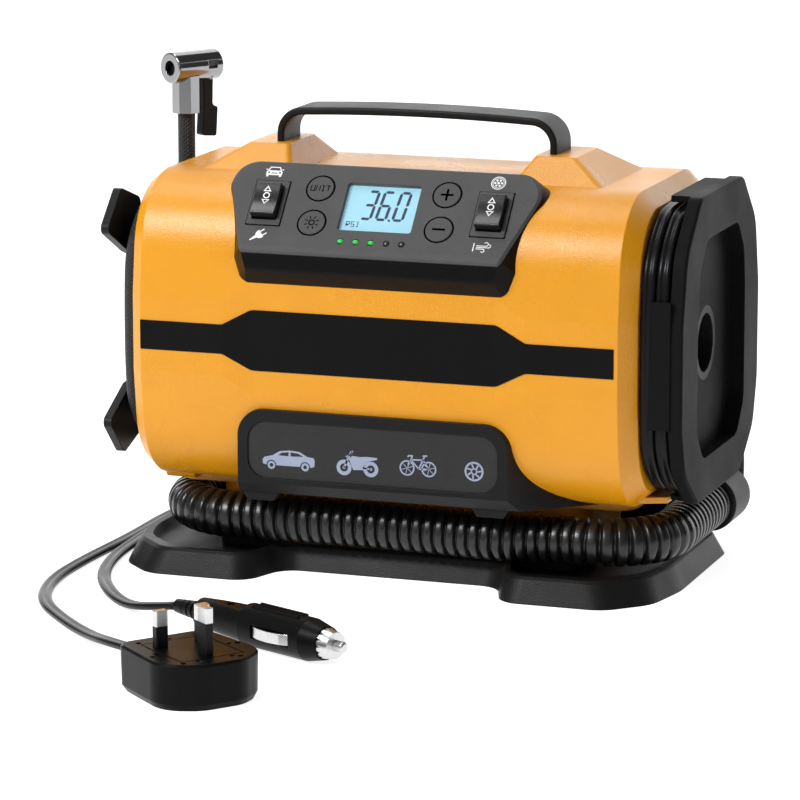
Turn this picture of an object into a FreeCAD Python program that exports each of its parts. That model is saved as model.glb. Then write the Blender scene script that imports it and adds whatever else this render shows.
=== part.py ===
"""Electric air pump for mattresses and tyres, with its hoses, its leads and its cord reel.

Frame: millimetres, +Z up, +X along the body towards the cord reel, -Y towards the front.
The origin is the centre of the base's underside, on the surface that the pump stands on.
"""
import FreeCAD, Part
import math
import os

from FreeCAD import Placement, Rotation, Vector

# ---- driving dimensions ----
BODY_LEFT, BODY_RIGHT = -131.0, 136.0      # end faces of the yellow body
BODY_FRONT_END = 128.0                     # where the right rim's bevel starts
BODY_Z = 125.0                             # height of the body's axis
BODY_HALF = 80.0                           # half of its width and of its height
BODY_SHOULDER = 73.4                       # half width where side and top would meet
BODY_CORNER = 40.0
FACET = 19.4                               # half height of the upright facet
RECESS, RECESS_FLAT, RECESS_END = 1.0, 64.0, 80.0
RIM_BEVEL, LEFT_BEVEL, LEFT_DEPTH = 8.0, 5.0, 6.0
WALL = 3.0
SEAM_Y = 16.0                              # joint plane of the two body shells

BASE_TOP, BASE_FLOOR, BASE_DRAFT, BASE_RIM, BASE_COLLAR = 13.0, 8.0, 5.0, 6.0, 12.2
NECK_X, NECK_Y, NECK_WALL = 100.0, 36.0, 9.0
KEEL_X, KEEL_Z = 124.0, 40.4

HANDLE_X, HANDLE_STRAP, HANDLE_Y = 75.5, 3.8, 13.0
HANDLE_FOOT, HANDLE_CORNER, HANDLE_CROWN = 207.0, 234.5, 238.0
BOSS_TOP = 217.0

PANEL_CENTRE = Vector(0, -67.8, 194.2)     # centre of the display, on the panel's face
PANEL_LEAN = 41.0                          # degrees that the face leans back from upright
PANEL_WALL, PANEL_DEPTH, PANEL_FLARE = 2.5, 20.0, 8.0
PANEL_FRONT, PANEL_CHIN = -86.0, 162.5     # upright band below the face
TUB_INSET, TUB_WALL = 4.5, 2.0
DISPLAY_S, DISPLAY_T = 19.4, 14.0          # half sizes of the display opening
BUTTON_S, BUTTON_ROWS, BUTTON_R, BUTTON_TRAVEL = 33.6, (9.6, -10.8), 7.0, 0.8
SWITCH_S, SWITCH_T = 59.3, -0.6
SWITCH_AXIS = -3.0                         # depth of the rocker's axis below the face
LED_PITCH, LED_T, LED_R = 8.1, -20.6, 1.7
BOARD_FRONT = -7.4

BADGE_FACE, BADGE_HALF, BADGE_LOW, BADGE_HIGH = -81.0, 72.0, 46.0, 90.0

STRIPE_LEFT, STRIPE_RIGHT, STRIPE_THICK = -125.0, 126.0, 0.4

REEL_HUB_Y, REEL_HUB_Z, REEL_HUB_R = 57.5, 58.5, 30.0
REEL_PLATE_IN, REEL_PLATE_OUT, REEL_FLOOR = 152.4, 159.4, 150.9
PORT_R, PORT_BORE = 19.0, 15.0
CORD_THICK, CORD_LANE = 3.6, 7.3           # flat twin lead, and the width of one wound row
CORD_LAYERS = 4

SPOOL_HALF = 48.0
HOSE_R = 4.8
HOSE_LANE, RISER_X, RISER_Y, RISER_TOP = -136.0, -145.6, 37.0, 222.5
HORN_REACH, HORN_THICK = 85.0, 4.4
HORN_ROOT, FRONT_HORN, REAR_HORN = -146.4, -151.2, -155.0   # X of the horns' outer faces

DUCT_R, DUCT_Z, DUCT_FRONT, DUCT_LEFT, DUCT_RIGHT = 12.3, 27.2, -51.0, -121.0, 140.0
CUFF_R = 14.8

CHUCK_HEADING = -118.9                     # degrees from +X to where the chuck's mouth points
CHUCK_AXIS_Z = 24.5                        # barrel axis above the hose's end
CHUCK_R, CHUCK_MOUTH, CHUCK_TAIL = 8.25, 11.0, -19.5
MOUTH_R, MOUTH_LONG, SEAL_R = 4.0, 3.5, 5.0
LEVER_PIVOT = (-13.0, -6.5)

PLUG_PLACE = Placement(Vector(-13.0, -293.0, 0), Rotation(Vector(0, 0, 1), -38.0))
PLUG_TOP, PLUG_BACK, PLUG_FRONT, PLUG_SIDE = 22.0, -28.0, 30.0, 28.0
LIGHTER_PLACE = Placement(Vector(-49.5, -186.7, 10.6), Rotation(Vector(0, 0, 1), -25.4))
LIGHTER_R = 10.5

GEAR_MODULE, GEAR_TEETH, PINION_TEETH = 1.0, 48, 12
GEAR_Z, GEAR_BACK, GEAR_THICK = 88.0, -40.0, 5.8
CRANK = 8.0
CYLINDER_X, PISTON_R = -52.0, 12.0
IMPELLER_X, IMPELLER_R = 84.0, 45.0
SUPPLY_Z = 56.0                            # underside of the power supply's board
FIT = 0.05                                 # radial clearance of a shaft in its bore

# Route of each lead from the reel to its plug: points on its centreline.
FLOOR = 1.9                                # height of a lead's centre where it lies flat
MAINS_ROUTE = [
    (147.8, 70.1, 116), (147.8, 70.4, 92), (147.4, 75, 68), (146, 89, 46), (142, 102, 22),
    (126, 109, 5), (92, 111, FLOOR), (46, 108, FLOOR), (-2, 111, FLOOR), (-50, 108, FLOOR),
    (-96, 111, FLOOR), (-134, 103, FLOOR), (-155, 76, FLOOR), (-159, 32, FLOOR),
    (-158, -18, FLOOR), (-161, -70, FLOOR), (-160, -118, FLOOR), (-147, -160, FLOOR),
    (-120, -193, FLOOR), (-96, -220, 3.5), (-73.5, -245.7, 8), (-52.4, -262.2, 10),
]
DC_ROUTE = [
    (140.5, 70.1, 116), (140.5, 70.4, 92), (140, 74, 68), (139, 86, 48), (136, 96, 26),
    (122, 101, 7), (92, 101.5, FLOOR), (50, 98.5, FLOOR), (2, 101.5, FLOOR),
    (-46, 98.5, FLOOR), (-90, 101.5, FLOOR), (-127, 95, FLOOR), (-150, 68, FLOOR),
    (-154, 26, FLOOR), (-152.5, -18, FLOOR), (-149.5, -62, FLOOR), (-139, -102, FLOOR),
    (-120, -135, FLOOR), (-102, -156, 2.5), (-85, -170.5, 6.5), (-65.8, -179, 10.6),
]
RISER_ROUTE = [
    (-136, -34, 62), (-142, -18, 58), (-145.6, 16, 62), (-145.6, 36, 86),
    (-145.6, 36.9, 124), (RISER_X, RISER_Y, 174), (RISER_X, RISER_Y, RISER_TOP),
]


# ---- helpers ----
def on_x(x):
    return lambda u, v: Vector(x, u, v)


def on_y(y):
    return lambda u, v: Vector(u, y, v)


def on_z(z):
    return lambda u, v: Vector(u, v, z)


LEAN = math.radians(PANEL_LEAN)
PANEL_UP = Vector(0, math.sin(LEAN), math.cos(LEAN))
PANEL_OUT = Vector(0, -math.cos(LEAN), math.sin(LEAN))


def on_panel(depth):
    """Points (along X, up the leaning panel face) at a distance out from that face."""
    return lambda s, t: PANEL_CENTRE + Vector(s, 0, 0) + PANEL_UP * t + PANEL_OUT * depth


def wire(corners, place):
    """Closed wire through corners (u, v) or (u, v, radius), the rounded ones as arcs."""
    edges, ends = [], []
    for i, corner in enumerate(corners):
        here = place(corner[0], corner[1])
        radius = corner[2] if len(corner) > 2 else 0
        if not radius:
            ends.append((here, here, None))
            continue
        back = place(*corners[i - 1][:2]) - here
        ahead = place(*corners[(i + 1) % len(corners)][:2]) - here
        back.normalize()
        ahead.normalize()
        half = back.getAngle(ahead) / 2
        reach = radius / math.tan(half)
        middle = back + ahead
        middle.normalize()
        bulge = here + middle * (radius / math.sin(half) - radius)
        ends.append((here + back * reach, here + ahead * reach, bulge))
    for i, (start, stop, bulge) in enumerate(ends):
        if bulge:
            edges.append(Part.Arc(start, bulge, stop).toShape())
        following = ends[(i + 1) % len(ends)][0]
        if stop.distanceToPoint(following) > 1e-6:
            edges.append(Part.LineSegment(stop, following).toShape())
    return Part.Wire(edges)


def prism(corners, place, way):
    return Part.Face(wire(corners, place)).extrude(way)


def loft(*wires):
    return Part.makeLoft(list(wires), True, True)


def box(x, y, z):
    return Part.makeBox(x[1] - x[0], y[1] - y[0], z[1] - z[0], Vector(x[0], y[0], z[0]))


def rod(start, way, radius):
    return Part.makeCylinder(radius, way.Length, start, way)


def ring(start, way, outer, inner):
    return rod(start, way, outer).cut(rod(start, way, inner))


def mirrored(half):
    """Outline corners given for u > 0, repeated on the other side."""
    return half + [(-c[0],) + tuple(c[1:]) for c in reversed(half)]


def fused(shapes):
    return shapes[0].multiFuse(shapes[1:]).removeSplitter()


def rounded(solid, radius, chosen):
    """The solid with a fillet on each edge that chosen(edge) picks."""
    return solid.makeFillet(radius, [e for e in solid.Edges if chosen(e)])


def panel_prism(corners, bottom, top):
    """A prism square to the panel face, between two depths."""
    return prism(corners, on_panel(bottom), PANEL_OUT * (top - bottom))


def panel_rod(s, t, bottom, top, radius):
    return rod(on_panel(bottom)(s, t), PANEL_OUT * (top - bottom), radius)


def rectangle(u, v, half_u, half_v, radius=0):
    return [(u - half_u, v - half_v, radius), (u + half_u, v - half_v, radius),
            (u + half_u, v + half_v, radius), (u - half_u, v + half_v, radius)]


def bends(points):
    """Corner arcs of a route: where each starts, its middle, where it ends, its radius."""
    found = []
    for before, here, after in zip(points, points[1:], points[2:]):
        back, ahead = before - here, after - here
        shorter = min(back.Length, ahead.Length)
        back.normalize()
        ahead.normalize()
        half = back.getAngle(ahead) / 2
        reach = 0.45 * shorter
        radius = reach * math.tan(half)
        middle = back + ahead
        middle.normalize()
        bulge = here + middle * (radius / math.sin(half) - radius)
        found.append((here + back * reach, bulge, here + ahead * reach, radius))
    return found


def tube(name, route, radius):
    """A tube of straight runs and tangent arcs along a route; prints its length and bends."""
    points = [Vector(*p) for p in route]
    arcs = bends(points)
    edges, at = [], points[0]
    for start, bulge, stop, _ in arcs:
        edges.append(Part.LineSegment(at, start).toShape())
        edges.append(Part.Arc(start, bulge, stop).toShape())
        at = stop
    edges.append(Part.LineSegment(at, points[-1]).toShape())
    path = Part.Wire(edges)
    across = Part.Wire(Part.makeCircle(radius, points[0], points[1] - points[0]))
    solid = path.makePipeShell([across], True, False)
    share = solid.Volume / (math.pi * radius ** 2 * path.Length)
    print(name, "length", round(path.Length), "tightest bend", round(min(a[3] for a in arcs)),
          "volume share", round(share, 3))
    return solid


# ---- body shells ----
def body_section(x, inset=0.0):
    side, shoulder, top = BODY_HALF - inset, BODY_SHOULDER - inset, BODY_HALF - inset
    corner = BODY_CORNER - inset
    half = [(shoulder, BODY_Z - top, corner), (side, BODY_Z - FACET),
            (side, BODY_Z + FACET), (shoulder, BODY_Z + top, corner)]
    return wire(mirrored(half), on_x(x))


def body_block():
    """The outside of the body: a rounded square prism, bevelled ends, shallow front panel."""
    bevel_end = BODY_LEFT + LEFT_DEPTH
    left = loft(body_section(BODY_LEFT, LEFT_BEVEL), body_section(bevel_end))
    middle = loft(body_section(bevel_end), body_section(BODY_FRONT_END))
    right = loft(body_section(BODY_FRONT_END), body_section(BODY_RIGHT, RIM_BEVEL))
    block = fused([left, middle, right])
    for side in (-1, 1):
        face, floor = side * BODY_HALF, side * (BODY_HALF - RECESS)
        plan = [(-RECESS_END, face), (-RECESS_FLAT, floor), (RECESS_FLAT, floor),
                (RECESS_END, face), (RECESS_END, face + side * 5), (-RECESS_END, face + side * 5)]
        block = block.cut(prism(plan, on_z(BODY_Z - 45), Vector(0, 0, 90)))
    return block


def handle_boss(side):
    """Faceted boss that holds one leg of the handle."""
    top = [(66, -20, 3), (88, -20, 3), (88, 20, 3), (66, 20, 3)]
    foot = [(50, -59, 3), (131, -59, 3), (131, 59, 3), (50, 59, 3)]
    high = wire([(side * x, y, r) for x, y, r in top], on_z(BOSS_TOP))
    low = wire([(side * x, y, r) for x, y, r in foot], on_z(BOSS_TOP - 27))
    return loft(low, high)


def neck():
    """Waist between body and base, with rounded corners that the stored duct bends round."""
    return prism(rectangle(0, 0, NECK_X, NECK_Y, 12), on_z(BASE_FLOOR), Vector(0, 0, 57))


def keel():
    """Low step under the body, clear of the stored duct."""
    return prism(rectangle(0, 0, KEEL_X, NECK_Y, 12), on_z(KEEL_Z), Vector(0, 0, 8))


def body_cavity():
    straight = loft(body_section(BODY_LEFT + LEFT_DEPTH, WALL), body_section(122, WALL))
    right = loft(body_section(122, WALL), body_section(131, 12))
    inner = NECK_X - NECK_WALL
    well = prism(rectangle(0, 0, inner, NECK_Y - NECK_WALL, 4), on_z(BASE_FLOOR + 3),
                 Vector(0, 0, BODY_Z - BASE_FLOOR - 3))
    return fused([straight, right, well])


POST_PLACES = [(x, z) for x in (-116, 116) for z in (BODY_Z - 60, BODY_Z + 60)]


def posts(low, high, radius):
    return [rod(Vector(x, low, z), Vector(0, high - low, 0), radius) for x, z in POST_PLACES]


def cord_tongue():
    """Small tongue on the right end that keeps the wound leads off the duct."""
    plan = [(BODY_RIGHT - 6, -46), (BODY_RIGHT + 7.5, -40, 2), (BODY_RIGHT + 7.5, -18, 2),
            (BODY_RIGHT - 6, -12)]
    return prism(plan, on_z(47.5), Vector(0, 0, 3.2))


def drain_lug():
    """Rounded lug under the body's left front edge."""
    return rod(Vector(-127, -38, 47), Vector(16, 0, 0), 5)


def whole_body(block):
    solid = fused([block, handle_boss(-1), handle_boss(1), neck(), keel(), cord_tongue(),
                   drain_lug()])
    shell = solid.cut(body_cavity())
    inner = loft(body_section(BODY_LEFT + 1, 1), body_section(BODY_FRONT_END, 1))
    front_posts = [p.common(inner) for p in posts(-BODY_HALF, SEAM_Y, 5)]
    rear_posts = [p.common(inner) for p in posts(SEAM_Y, BODY_HALF, 5)]
    ribs = [box((x, x + 3), (18, 54), (46, SUPPLY_Z)).common(inner) for x in (-6, 62)]
    return fused([shell] + front_posts + rear_posts + ribs)


def screw_cuts():
    pilots = posts(SEAM_Y - 22, SEAM_Y, 1.5)
    shanks = posts(SEAM_Y, SEAM_Y + 12, 1.8)
    wells = posts(SEAM_Y + 12, BODY_HALF + 5, 3.6)
    return pilots + shanks + wells


def housing_screws():
    """Four pan-head screws from the rear into the front shell's posts."""
    screws = []
    for x, z in POST_PLACES:
        shank = rod(Vector(x, SEAM_Y - 18, z), Vector(0, 30, 0), 1.5)
        head = rod(Vector(x, SEAM_Y + 12, z), Vector(0, 2.4, 0), 3.2)
        slot = box((x - 2.2, x + 2.2), (SEAM_Y + 13.4, SEAM_Y + 15), (z - 0.4, z + 0.4))
        screws.append(fused([shank, head]).cut(slot))
    return screws


# ---- base ----
BASE_HALF = [(58, -52, 14), (68, -82, 14), (122, -82, 18), (142, -62, 26), (148, -30, 60),
             (148, 58, 14), (137, 76, 14), (122, 82, 14), (68, 82, 14), (58, 52, 14)]


def base_outline(z, inset):
    """Dog-bone plan with a foot at each corner, drawn in by an inset."""
    corners = []
    for x, y, radius in BASE_HALF:
        inward = inset if abs(y) > 53 or x < 60 else 0
        corners.append((x - (inset if x > 100 else -inset * 0.3), y - math.copysign(inward, y), radius))
    return wire(mirrored(corners), on_z(z))


BASE_SCREWS = [(x, y) for x in (-NECK_X + 5, NECK_X - 5) for y in (-NECK_Y + 5, NECK_Y - 5)]
BASE_DIMPLES = [(x, y) for x in (-124, 124) for y in (-60, 60)]
PAD_PLACES = [(x, y) for x in (-118, 118) for y in (-62, 62)]


def base_plate():
    """Sled base: drafted skirt, raised rim, sunken floor, a dished recess near each corner."""
    skirt = loft(base_outline(0, 0), base_outline(BASE_TOP - 1.5, BASE_DRAFT))
    lip = loft(base_outline(BASE_TOP - 1.5, BASE_DRAFT), base_outline(BASE_TOP, BASE_DRAFT + 1.5))
    floor = loft(base_outline(BASE_FLOOR, BASE_DRAFT + BASE_RIM + 1),
                 base_outline(BASE_TOP + 1, BASE_DRAFT + BASE_RIM - 1))
    plate = fused([skirt, lip]).cut(floor)
    rest = box((131, 137), (18, 34), (BASE_FLOOR, BASE_TOP - 0.5))
    collar = [prism(rectangle(0, 0, NECK_X + grow, NECK_Y + grow, 12 + grow), on_z(BASE_FLOOR),
                    Vector(0, 0, BASE_COLLAR - BASE_FLOOR)) for grow in (2.4, 0)]
    plate = fused([plate, rest, collar[0]]).cut(collar[1])
    for x, y in BASE_DIMPLES:
        plate = plate.cut(Part.makeCone(6, 8, 3, Vector(x, y, BASE_FLOOR - 3)))
        plate = plate.cut(rod(Vector(x, y, 3), Vector(0, 0, 3), 2))
    for x, y in BASE_SCREWS:
        plate = plate.cut(rod(Vector(x, y, 0), Vector(0, 0, 4), 3.6))
        plate = plate.cut(rod(Vector(x, y, 0), Vector(0, 0, BASE_FLOOR), 1.8))
    seat = rod(Vector(DUCT_RIGHT, 52, DUCT_Z), Vector(0, 30, 0), CUFF_R)
    return plate.cut(Part.Compound([pads(), seat]))


def pads():
    """Rubber foot pads let into the underside, flush with it."""
    return Part.Compound([rod(Vector(x, y, 0), Vector(0, 0, 2), 9) for x, y in PAD_PLACES])


def base_screws():
    """Four screws through the base into the neck's walls."""
    screws = []
    for x, y in BASE_SCREWS:
        head = rod(Vector(x, y, 1.4), Vector(0, 0, 2.6), 3.4)
        shank = rod(Vector(x, y, 4), Vector(0, 0, 18), 1.5)
        screws.append(fused([head, shank]))
    return screws


# ---- handle ----
def handle():
    """Flat strap bent into a bail, slightly crowned, with both legs sunk in their bosses."""
    inner = HANDLE_X - HANDLE_STRAP
    corner, crown = HANDLE_CORNER - HANDLE_STRAP, HANDLE_CROWN - HANDLE_STRAP
    outline = [(-HANDLE_X, HANDLE_FOOT), (-HANDLE_X, HANDLE_CORNER, 14), (0, HANDLE_CROWN, 1200),
               (HANDLE_X, HANDLE_CORNER, 14), (HANDLE_X, HANDLE_FOOT), (inner, HANDLE_FOOT),
               (inner, corner, 10.2), (0, crown, 1200), (-inner, corner, 10.2),
               (-inner, HANDLE_FOOT)]
    strap = prism(outline, on_y(-HANDLE_Y), Vector(0, 2 * HANDLE_Y, 0))
    return rounded(strap, 1.3, lambda e: abs(abs(e.CenterOfMass.y) - HANDLE_Y) < 0.01
                   and e.BoundBox.ZMax > HANDLE_FOOT + 1)


# ---- control panel ----
def panel_outline(inset=0.0, flare=0.0):
    top, low, chin = 87.2 - inset + flare, 69.3 - inset + flare, 61.0 - inset + flare
    half = [(chin, -37.5 + inset, 9), (low, -27.2), (top, 24.8 - inset, 13)]
    return mirrored(half)


def panel_profile(inset=0.0):
    """Side view of the panel housing: an upright band below the face, then the underside."""
    front = PANEL_FRONT + inset
    low = PANEL_CHIN + 0.7 * inset
    face = on_panel(0)(0, -25.5 + inset)
    far = on_panel(0)(0, 60)
    ahead = 20 * inset
    return [(front, low, 2.5 if not inset else 0), (front, 172.6), (face.y, face.z),
            (far.y - ahead, far.z + ahead), (30, far.z + ahead), (30, 80), (-66 + inset, 139.8)]


def panel_block():
    """Outside of the panel housing, before the body is taken out of it."""
    edge = 1.3
    bevel = loft(wire(panel_outline(), on_panel(-edge)), wire(panel_outline(edge), on_panel(0)))
    flared = wire(panel_outline(0, PANEL_FLARE), on_panel(-16))
    sides = loft(flared, wire(panel_outline(), on_panel(-edge)))
    root = Part.Face(flared).extrude(PANEL_OUT * -26)
    side_view = prism(panel_profile(), on_x(-120), Vector(240, 0, 0))
    return fused([bevel, sides, root]).common(side_view)


BOARD_POSTS = [(s, t) for s in (-43.6, 43.6) for t in (-15.4, 15.2)]


def panel_housing(block):
    shell = panel_block().cut(block)
    tub = panel_prism(panel_outline(TUB_INSET), -PANEL_DEPTH, -1)
    tub = tub.common(prism(panel_profile(TUB_INSET), on_x(-120), Vector(240, 0, 0)))
    hollow = panel_prism(panel_outline(TUB_INSET + TUB_WALL), -PANEL_DEPTH - 5, -PANEL_WALL)
    hollow = hollow.common(prism(panel_profile(TUB_INSET + TUB_WALL), on_x(-120),
                                 Vector(240, 0, 0)))
    solid = fused([shell, tub]).cut(hollow)
    lugs = [panel_rod(s, t, BOARD_FRONT, -PANEL_WALL + 0.5, 2.2) for s, t in BOARD_POSTS]
    solid = fused([solid] + lugs)
    cuts = [panel_prism(rectangle(0, 0, DISPLAY_S, DISPLAY_T, 1.5), -PANEL_WALL - 1, 2)]
    for s, t in BUTTON_PLACES.values():
        cuts.append(panel_rod(s, t, -PANEL_WALL - 1, 2, BUTTON_R + FIT))
    for side in (-1, 1):
        cuts.append(panel_prism(rectangle(side * SWITCH_S, SWITCH_T, 7.7, 11.2), -12, 2))
    for i in range(-2, 3):
        cuts.append(panel_rod(i * LED_PITCH, LED_T, -PANEL_WALL - 1, 2, LED_R))
    for s, t in BOARD_POSTS:
        cuts.append(panel_rod(s, t, BOARD_FRONT, BOARD_FRONT + 4, 0.9))
    return solid.cut(Part.Compound(cuts))


BUTTON_PLACES = {
    "unit_button": (-BUTTON_S, BUTTON_ROWS[0]),
    "light_button": (-BUTTON_S, BUTTON_ROWS[1]),
    "plus_button": (BUTTON_S, BUTTON_ROWS[0]),
    "minus_button": (BUTTON_S, BUTTON_ROWS[1]),
}


def button(s, t):
    """Round key cap, a little proud of the panel, on a stem above its contact."""
    cap = panel_rod(s, t, -3.4, 0.35, BUTTON_R - FIT)
    cap = rounded(cap, 0.4, lambda e: len(e.Vertexes) == 1
                  and (e.CenterOfMass - on_panel(0.35)(s, t)).Length < 0.1)
    flange = panel_rod(s, t, -4.6, -3.4, BUTTON_R - 1)
    stem = panel_rod(s, t, BOARD_FRONT + BUTTON_TRAVEL + 0.4, -4.6, 2)
    return fused([cap, flange, stem])


def switch_frames():
    """Housings of both rocker switches: flange, open-topped case and trunnion holes."""
    cases = []
    for side in (-1, 1):
        s = side * SWITCH_S
        flange = panel_prism(rectangle(s, SWITCH_T, 8.9, 13, 0.8), 0, 0.6)
        case = panel_prism(rectangle(s, SWITCH_T, 7.7, 11.2), -11, 0)
        pocket = panel_prism(rectangle(s, SWITCH_T, 6.7, 10.1), -8.5, 1)
        pivot = rod(on_panel(SWITCH_AXIS)(s - 7.5, SWITCH_T), Vector(15, 0, 0), 1.5 + FIT)
        blades = [panel_prism(rectangle(s, SWITCH_T + t, 2.4, 0.4), -17, -11) for t in (-7, 0, 7)]
        cases.append(fused([flange, case]).cut(fused([pocket, pivot])).fuse(blades))
    return Part.Compound(cases)


def rocker(side):
    """Rocker with two raised ends and a dished middle, on two stub trunnions."""
    s = side * SWITCH_S
    outline = [(-9.3, -3.5, 1), (-9.3, 5.8, 0.9), (0, 4.3, 30), (9.3, 5.8, 0.9), (9.3, -3.5, 1),
               (4, -6.4, 1), (-4, -6.4, 1)]

    def side_view(t, depth):
        return on_panel(depth)(s - 6.45, t + SWITCH_T)

    paddle = prism(outline, side_view, Vector(12.9, 0, 0))
    pins = rod(on_panel(SWITCH_AXIS)(s - 7.35, SWITCH_T), Vector(14.7, 0, 0), 1.5)
    return fused([paddle, pins])


def display_window():
    return panel_prism(rectangle(0, 0, DISPLAY_S, DISPLAY_T, 1.5), -2.4, -0.6)


def display_module():
    """Liquid crystal cell in its bezel, with the pins that hold it to the board."""
    cell = panel_prism(rectangle(0, 0, 22.5, 16.4), -6.4, -PANEL_WALL)
    pins = [panel_rod(s, t, BOARD_FRONT, -6.4, 0.5) for s in (-18, 0, 18) for t in (-14, 14)]
    return fused([cell] + pins)


def led_lenses():
    return Part.Compound([panel_rod(i * LED_PITCH, LED_T, BOARD_FRONT, 0.1, LED_R)
                          for i in range(-2, 3)])


def control_board():
    board = panel_prism(rectangle(0, -2.9, 47.5, 20.6), BOARD_FRONT - 1.6, BOARD_FRONT)
    chips = [panel_prism(rectangle(s, t, 5, 4), BOARD_FRONT - 3.2, BOARD_FRONT - 1.6)
             for s, t in ((-20, 2), (18, -6))]
    holes = [panel_rod(s, t, BOARD_FRONT - 2, BOARD_FRONT + 1, 1.2) for s, t in BOARD_POSTS]
    return fused([board] + chips).cut(Part.Compound(holes))


# ---- front badge and stripe ----
def badge_block(inset=0.0):
    """Lower front pod: upright face, right side that spreads towards the bottom rear."""
    half, low, high = BADGE_HALF - inset, BADGE_LOW + inset, BADGE_HIGH - inset
    front = [(half, low), (half, high, 14)]
    back = [(half + 40, low), (half + 4, high, 14), (-half - 4, high, 14), (-half - 6, low)]
    solid = loft(wire(back, on_y(-45)), wire(mirrored(front), on_y(BADGE_FACE + inset)))
    chin = [(BADGE_FACE - 1, low - 1), (BADGE_FACE - 1, low + 7), (BADGE_FACE + inset, low + 6),
            (BADGE_FACE + 5 + inset, low), (BADGE_FACE + 5 + inset, low - 1)]
    return solid.cut(prism(chin, on_x(-130), Vector(260, 0, 0)))


def badge_housing(block):
    pod = badge_block().cut(badge_block(2.5)).cut(block)
    tabs = []
    for x in (-62, 61):
        outline = [(x - 10, BADGE_LOW), (x + 10, BADGE_LOW), (x + 7, BADGE_LOW - 4.5),
                   (x - 7, BADGE_LOW - 4.5)]
        tabs.append(prism(outline, on_y(-75), Vector(0, 9, 0)))
    pod = fused([pod] + tabs)
    return pod.cut(prism(BADGE_INSET, on_y(BADGE_FACE - 1), Vector(0, 2.4, 0)))


BADGE_INSET = rectangle(0, 69.3, 66.5, 14.8, 10)


def badge_insert():
    """Icon plate, set a little below the pod's rim."""
    return prism(BADGE_INSET, on_y(BADGE_FACE + 0.8), Vector(0, 0.6, 0))


def stripe_foil():
    """Black band on the front facet, wider in the middle, following the shallow recess."""
    outside, floor = -BODY_HALF, -BODY_HALF + RECESS
    skin = [(STRIPE_LEFT, outside), (-RECESS_END, outside), (-RECESS_FLAT, floor), (RECESS_FLAT, floor),
            (RECESS_END, outside), (STRIPE_RIGHT, outside)]
    skin += [(x, y - STRIPE_THICK) for x, y in reversed(skin)]
    band = prism(skin, on_z(100), Vector(0, 0, 50))
    half = [(STRIPE_RIGHT, 117.2), (STRIPE_RIGHT, 132.2), (80.5, 132.2, 6), (65, 140.5, 8)]
    lower = [(-65, 109.4, 8), (-80.5, 117.2, 6)]
    outline = half + [(-x, z, r) for x, z, r in reversed(half[2:])]
    outline += [(STRIPE_LEFT, 132.2), (STRIPE_LEFT, 117.2)]
    outline += list(reversed(lower)) + [(65, 109.4, 8), (80.5, 117.2, 6)]
    return band.common(prism(outline, on_y(-90), Vector(0, 20, 0)))


# ---- cord reel on the right end ----
def reel_outline(x, offset=0.0):
    half_y, half_z = REEL_HUB_Y + offset, REEL_HUB_Z + offset
    return wire(rectangle(0, BODY_Z, half_y, half_z, REEL_HUB_R + offset), on_x(x))


def reel_ring(x, offsets):
    """Closed racetrack ring between two offsets from the hub, over a length along X."""
    faces = [Part.Face(reel_outline(x[0], offset)) for offset in offsets]
    return faces[1].cut(faces[0]).extrude(Vector(x[1] - x[0], 0, 0))


REEL_PLATE = mirrored([(41, 48, 8), (67, 68, 20), (74.5, 92, 30), (74.5, 143, 30),
                       (67, 178, 26), (41, 203, 9)])
REEL_RECESS = mirrored([(33, 69.5, 12), (46, 86, 14), (45.5, 146, 30), (42.5, 166, 14), (30, 181, 10)])


def reel_hub():
    """Racetrack drum that the leads are wound on, fixed to the body's right end."""
    drum = reel_ring((BODY_RIGHT, REEL_FLOOR - 1.6), (-3.0, 0.0))
    feet = box((BODY_RIGHT, BODY_RIGHT + 3), (-56, 56), (118, 132))
    feet = feet.cut(rod(Vector(BODY_RIGHT - 1, 0, BODY_Z - 2), Vector(6, 0, 0), 24))
    return fused([drum, feet])


def reel_plate():
    """Outer flange of the reel: dished middle, round port hole, four cord-retaining lips."""
    deep = REEL_PLATE_OUT - REEL_PLATE_IN
    plate = prism(REEL_PLATE, on_x(REEL_PLATE_IN), Vector(deep, 0, 0))
    plate = rounded(plate, 1.6, lambda e: abs(e.CenterOfMass.x - REEL_PLATE_OUT) < 0.01)
    dish = prism(grown(REEL_RECESS, 2.0), on_x(REEL_FLOOR - 1.6), Vector(5, 0, 0))
    lips = [box((142.5, REEL_PLATE_IN + 1), y, (92, 156)) for y in ((-75.4, -73.2), (73.2, 75.4))]
    top = box((141, REEL_PLATE_IN + 1), (-32, 32), (199.2, 202.4))
    bottom = box((144, REEL_PLATE_IN + 1), (-36, 36), (48.6, 51.0))
    body = fused([plate, dish] + lips + [top, bottom])
    recess = prism(REEL_RECESS, on_x(REEL_FLOOR), Vector(12, 0, 0))
    hole = rod(Vector(REEL_FLOOR - 5, 0, BODY_Z - 2), Vector(12, 0, 0), PORT_R)
    return body.cut(fused([recess, hole]))


def grown(corners, by):
    """The same outline drawn outwards from its middle by about the given amount."""
    middle = sum(c[1] for c in corners) / len(corners)
    return [(c[0] + math.copysign(by, c[0]), c[1] + math.copysign(by, c[1] - middle), c[2] + by)
            for c in corners]


COIL_START = BODY_RIGHT + 0.8
LANES = (COIL_START, COIL_START + CORD_LANE, COIL_START + 2 * CORD_LANE)
HALF_COIL = CORD_LAYERS * CORD_THICK / 2


def dc_coil():
    """Outer shape of the wound 12 V lead: both lanes of the inner layers, one of the outer."""
    inner = reel_ring((LANES[0], LANES[2]), (0.0, HALF_COIL))
    outer = reel_ring((LANES[0], LANES[1]), (HALF_COIL, 2 * HALF_COIL))
    return fused([inner, outer])


def mains_coil():
    """Outer shape of the wound mains lead: the outer layers of the second lane."""
    return reel_ring((LANES[1], LANES[2]), (HALF_COIL, 2 * HALF_COIL))


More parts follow.
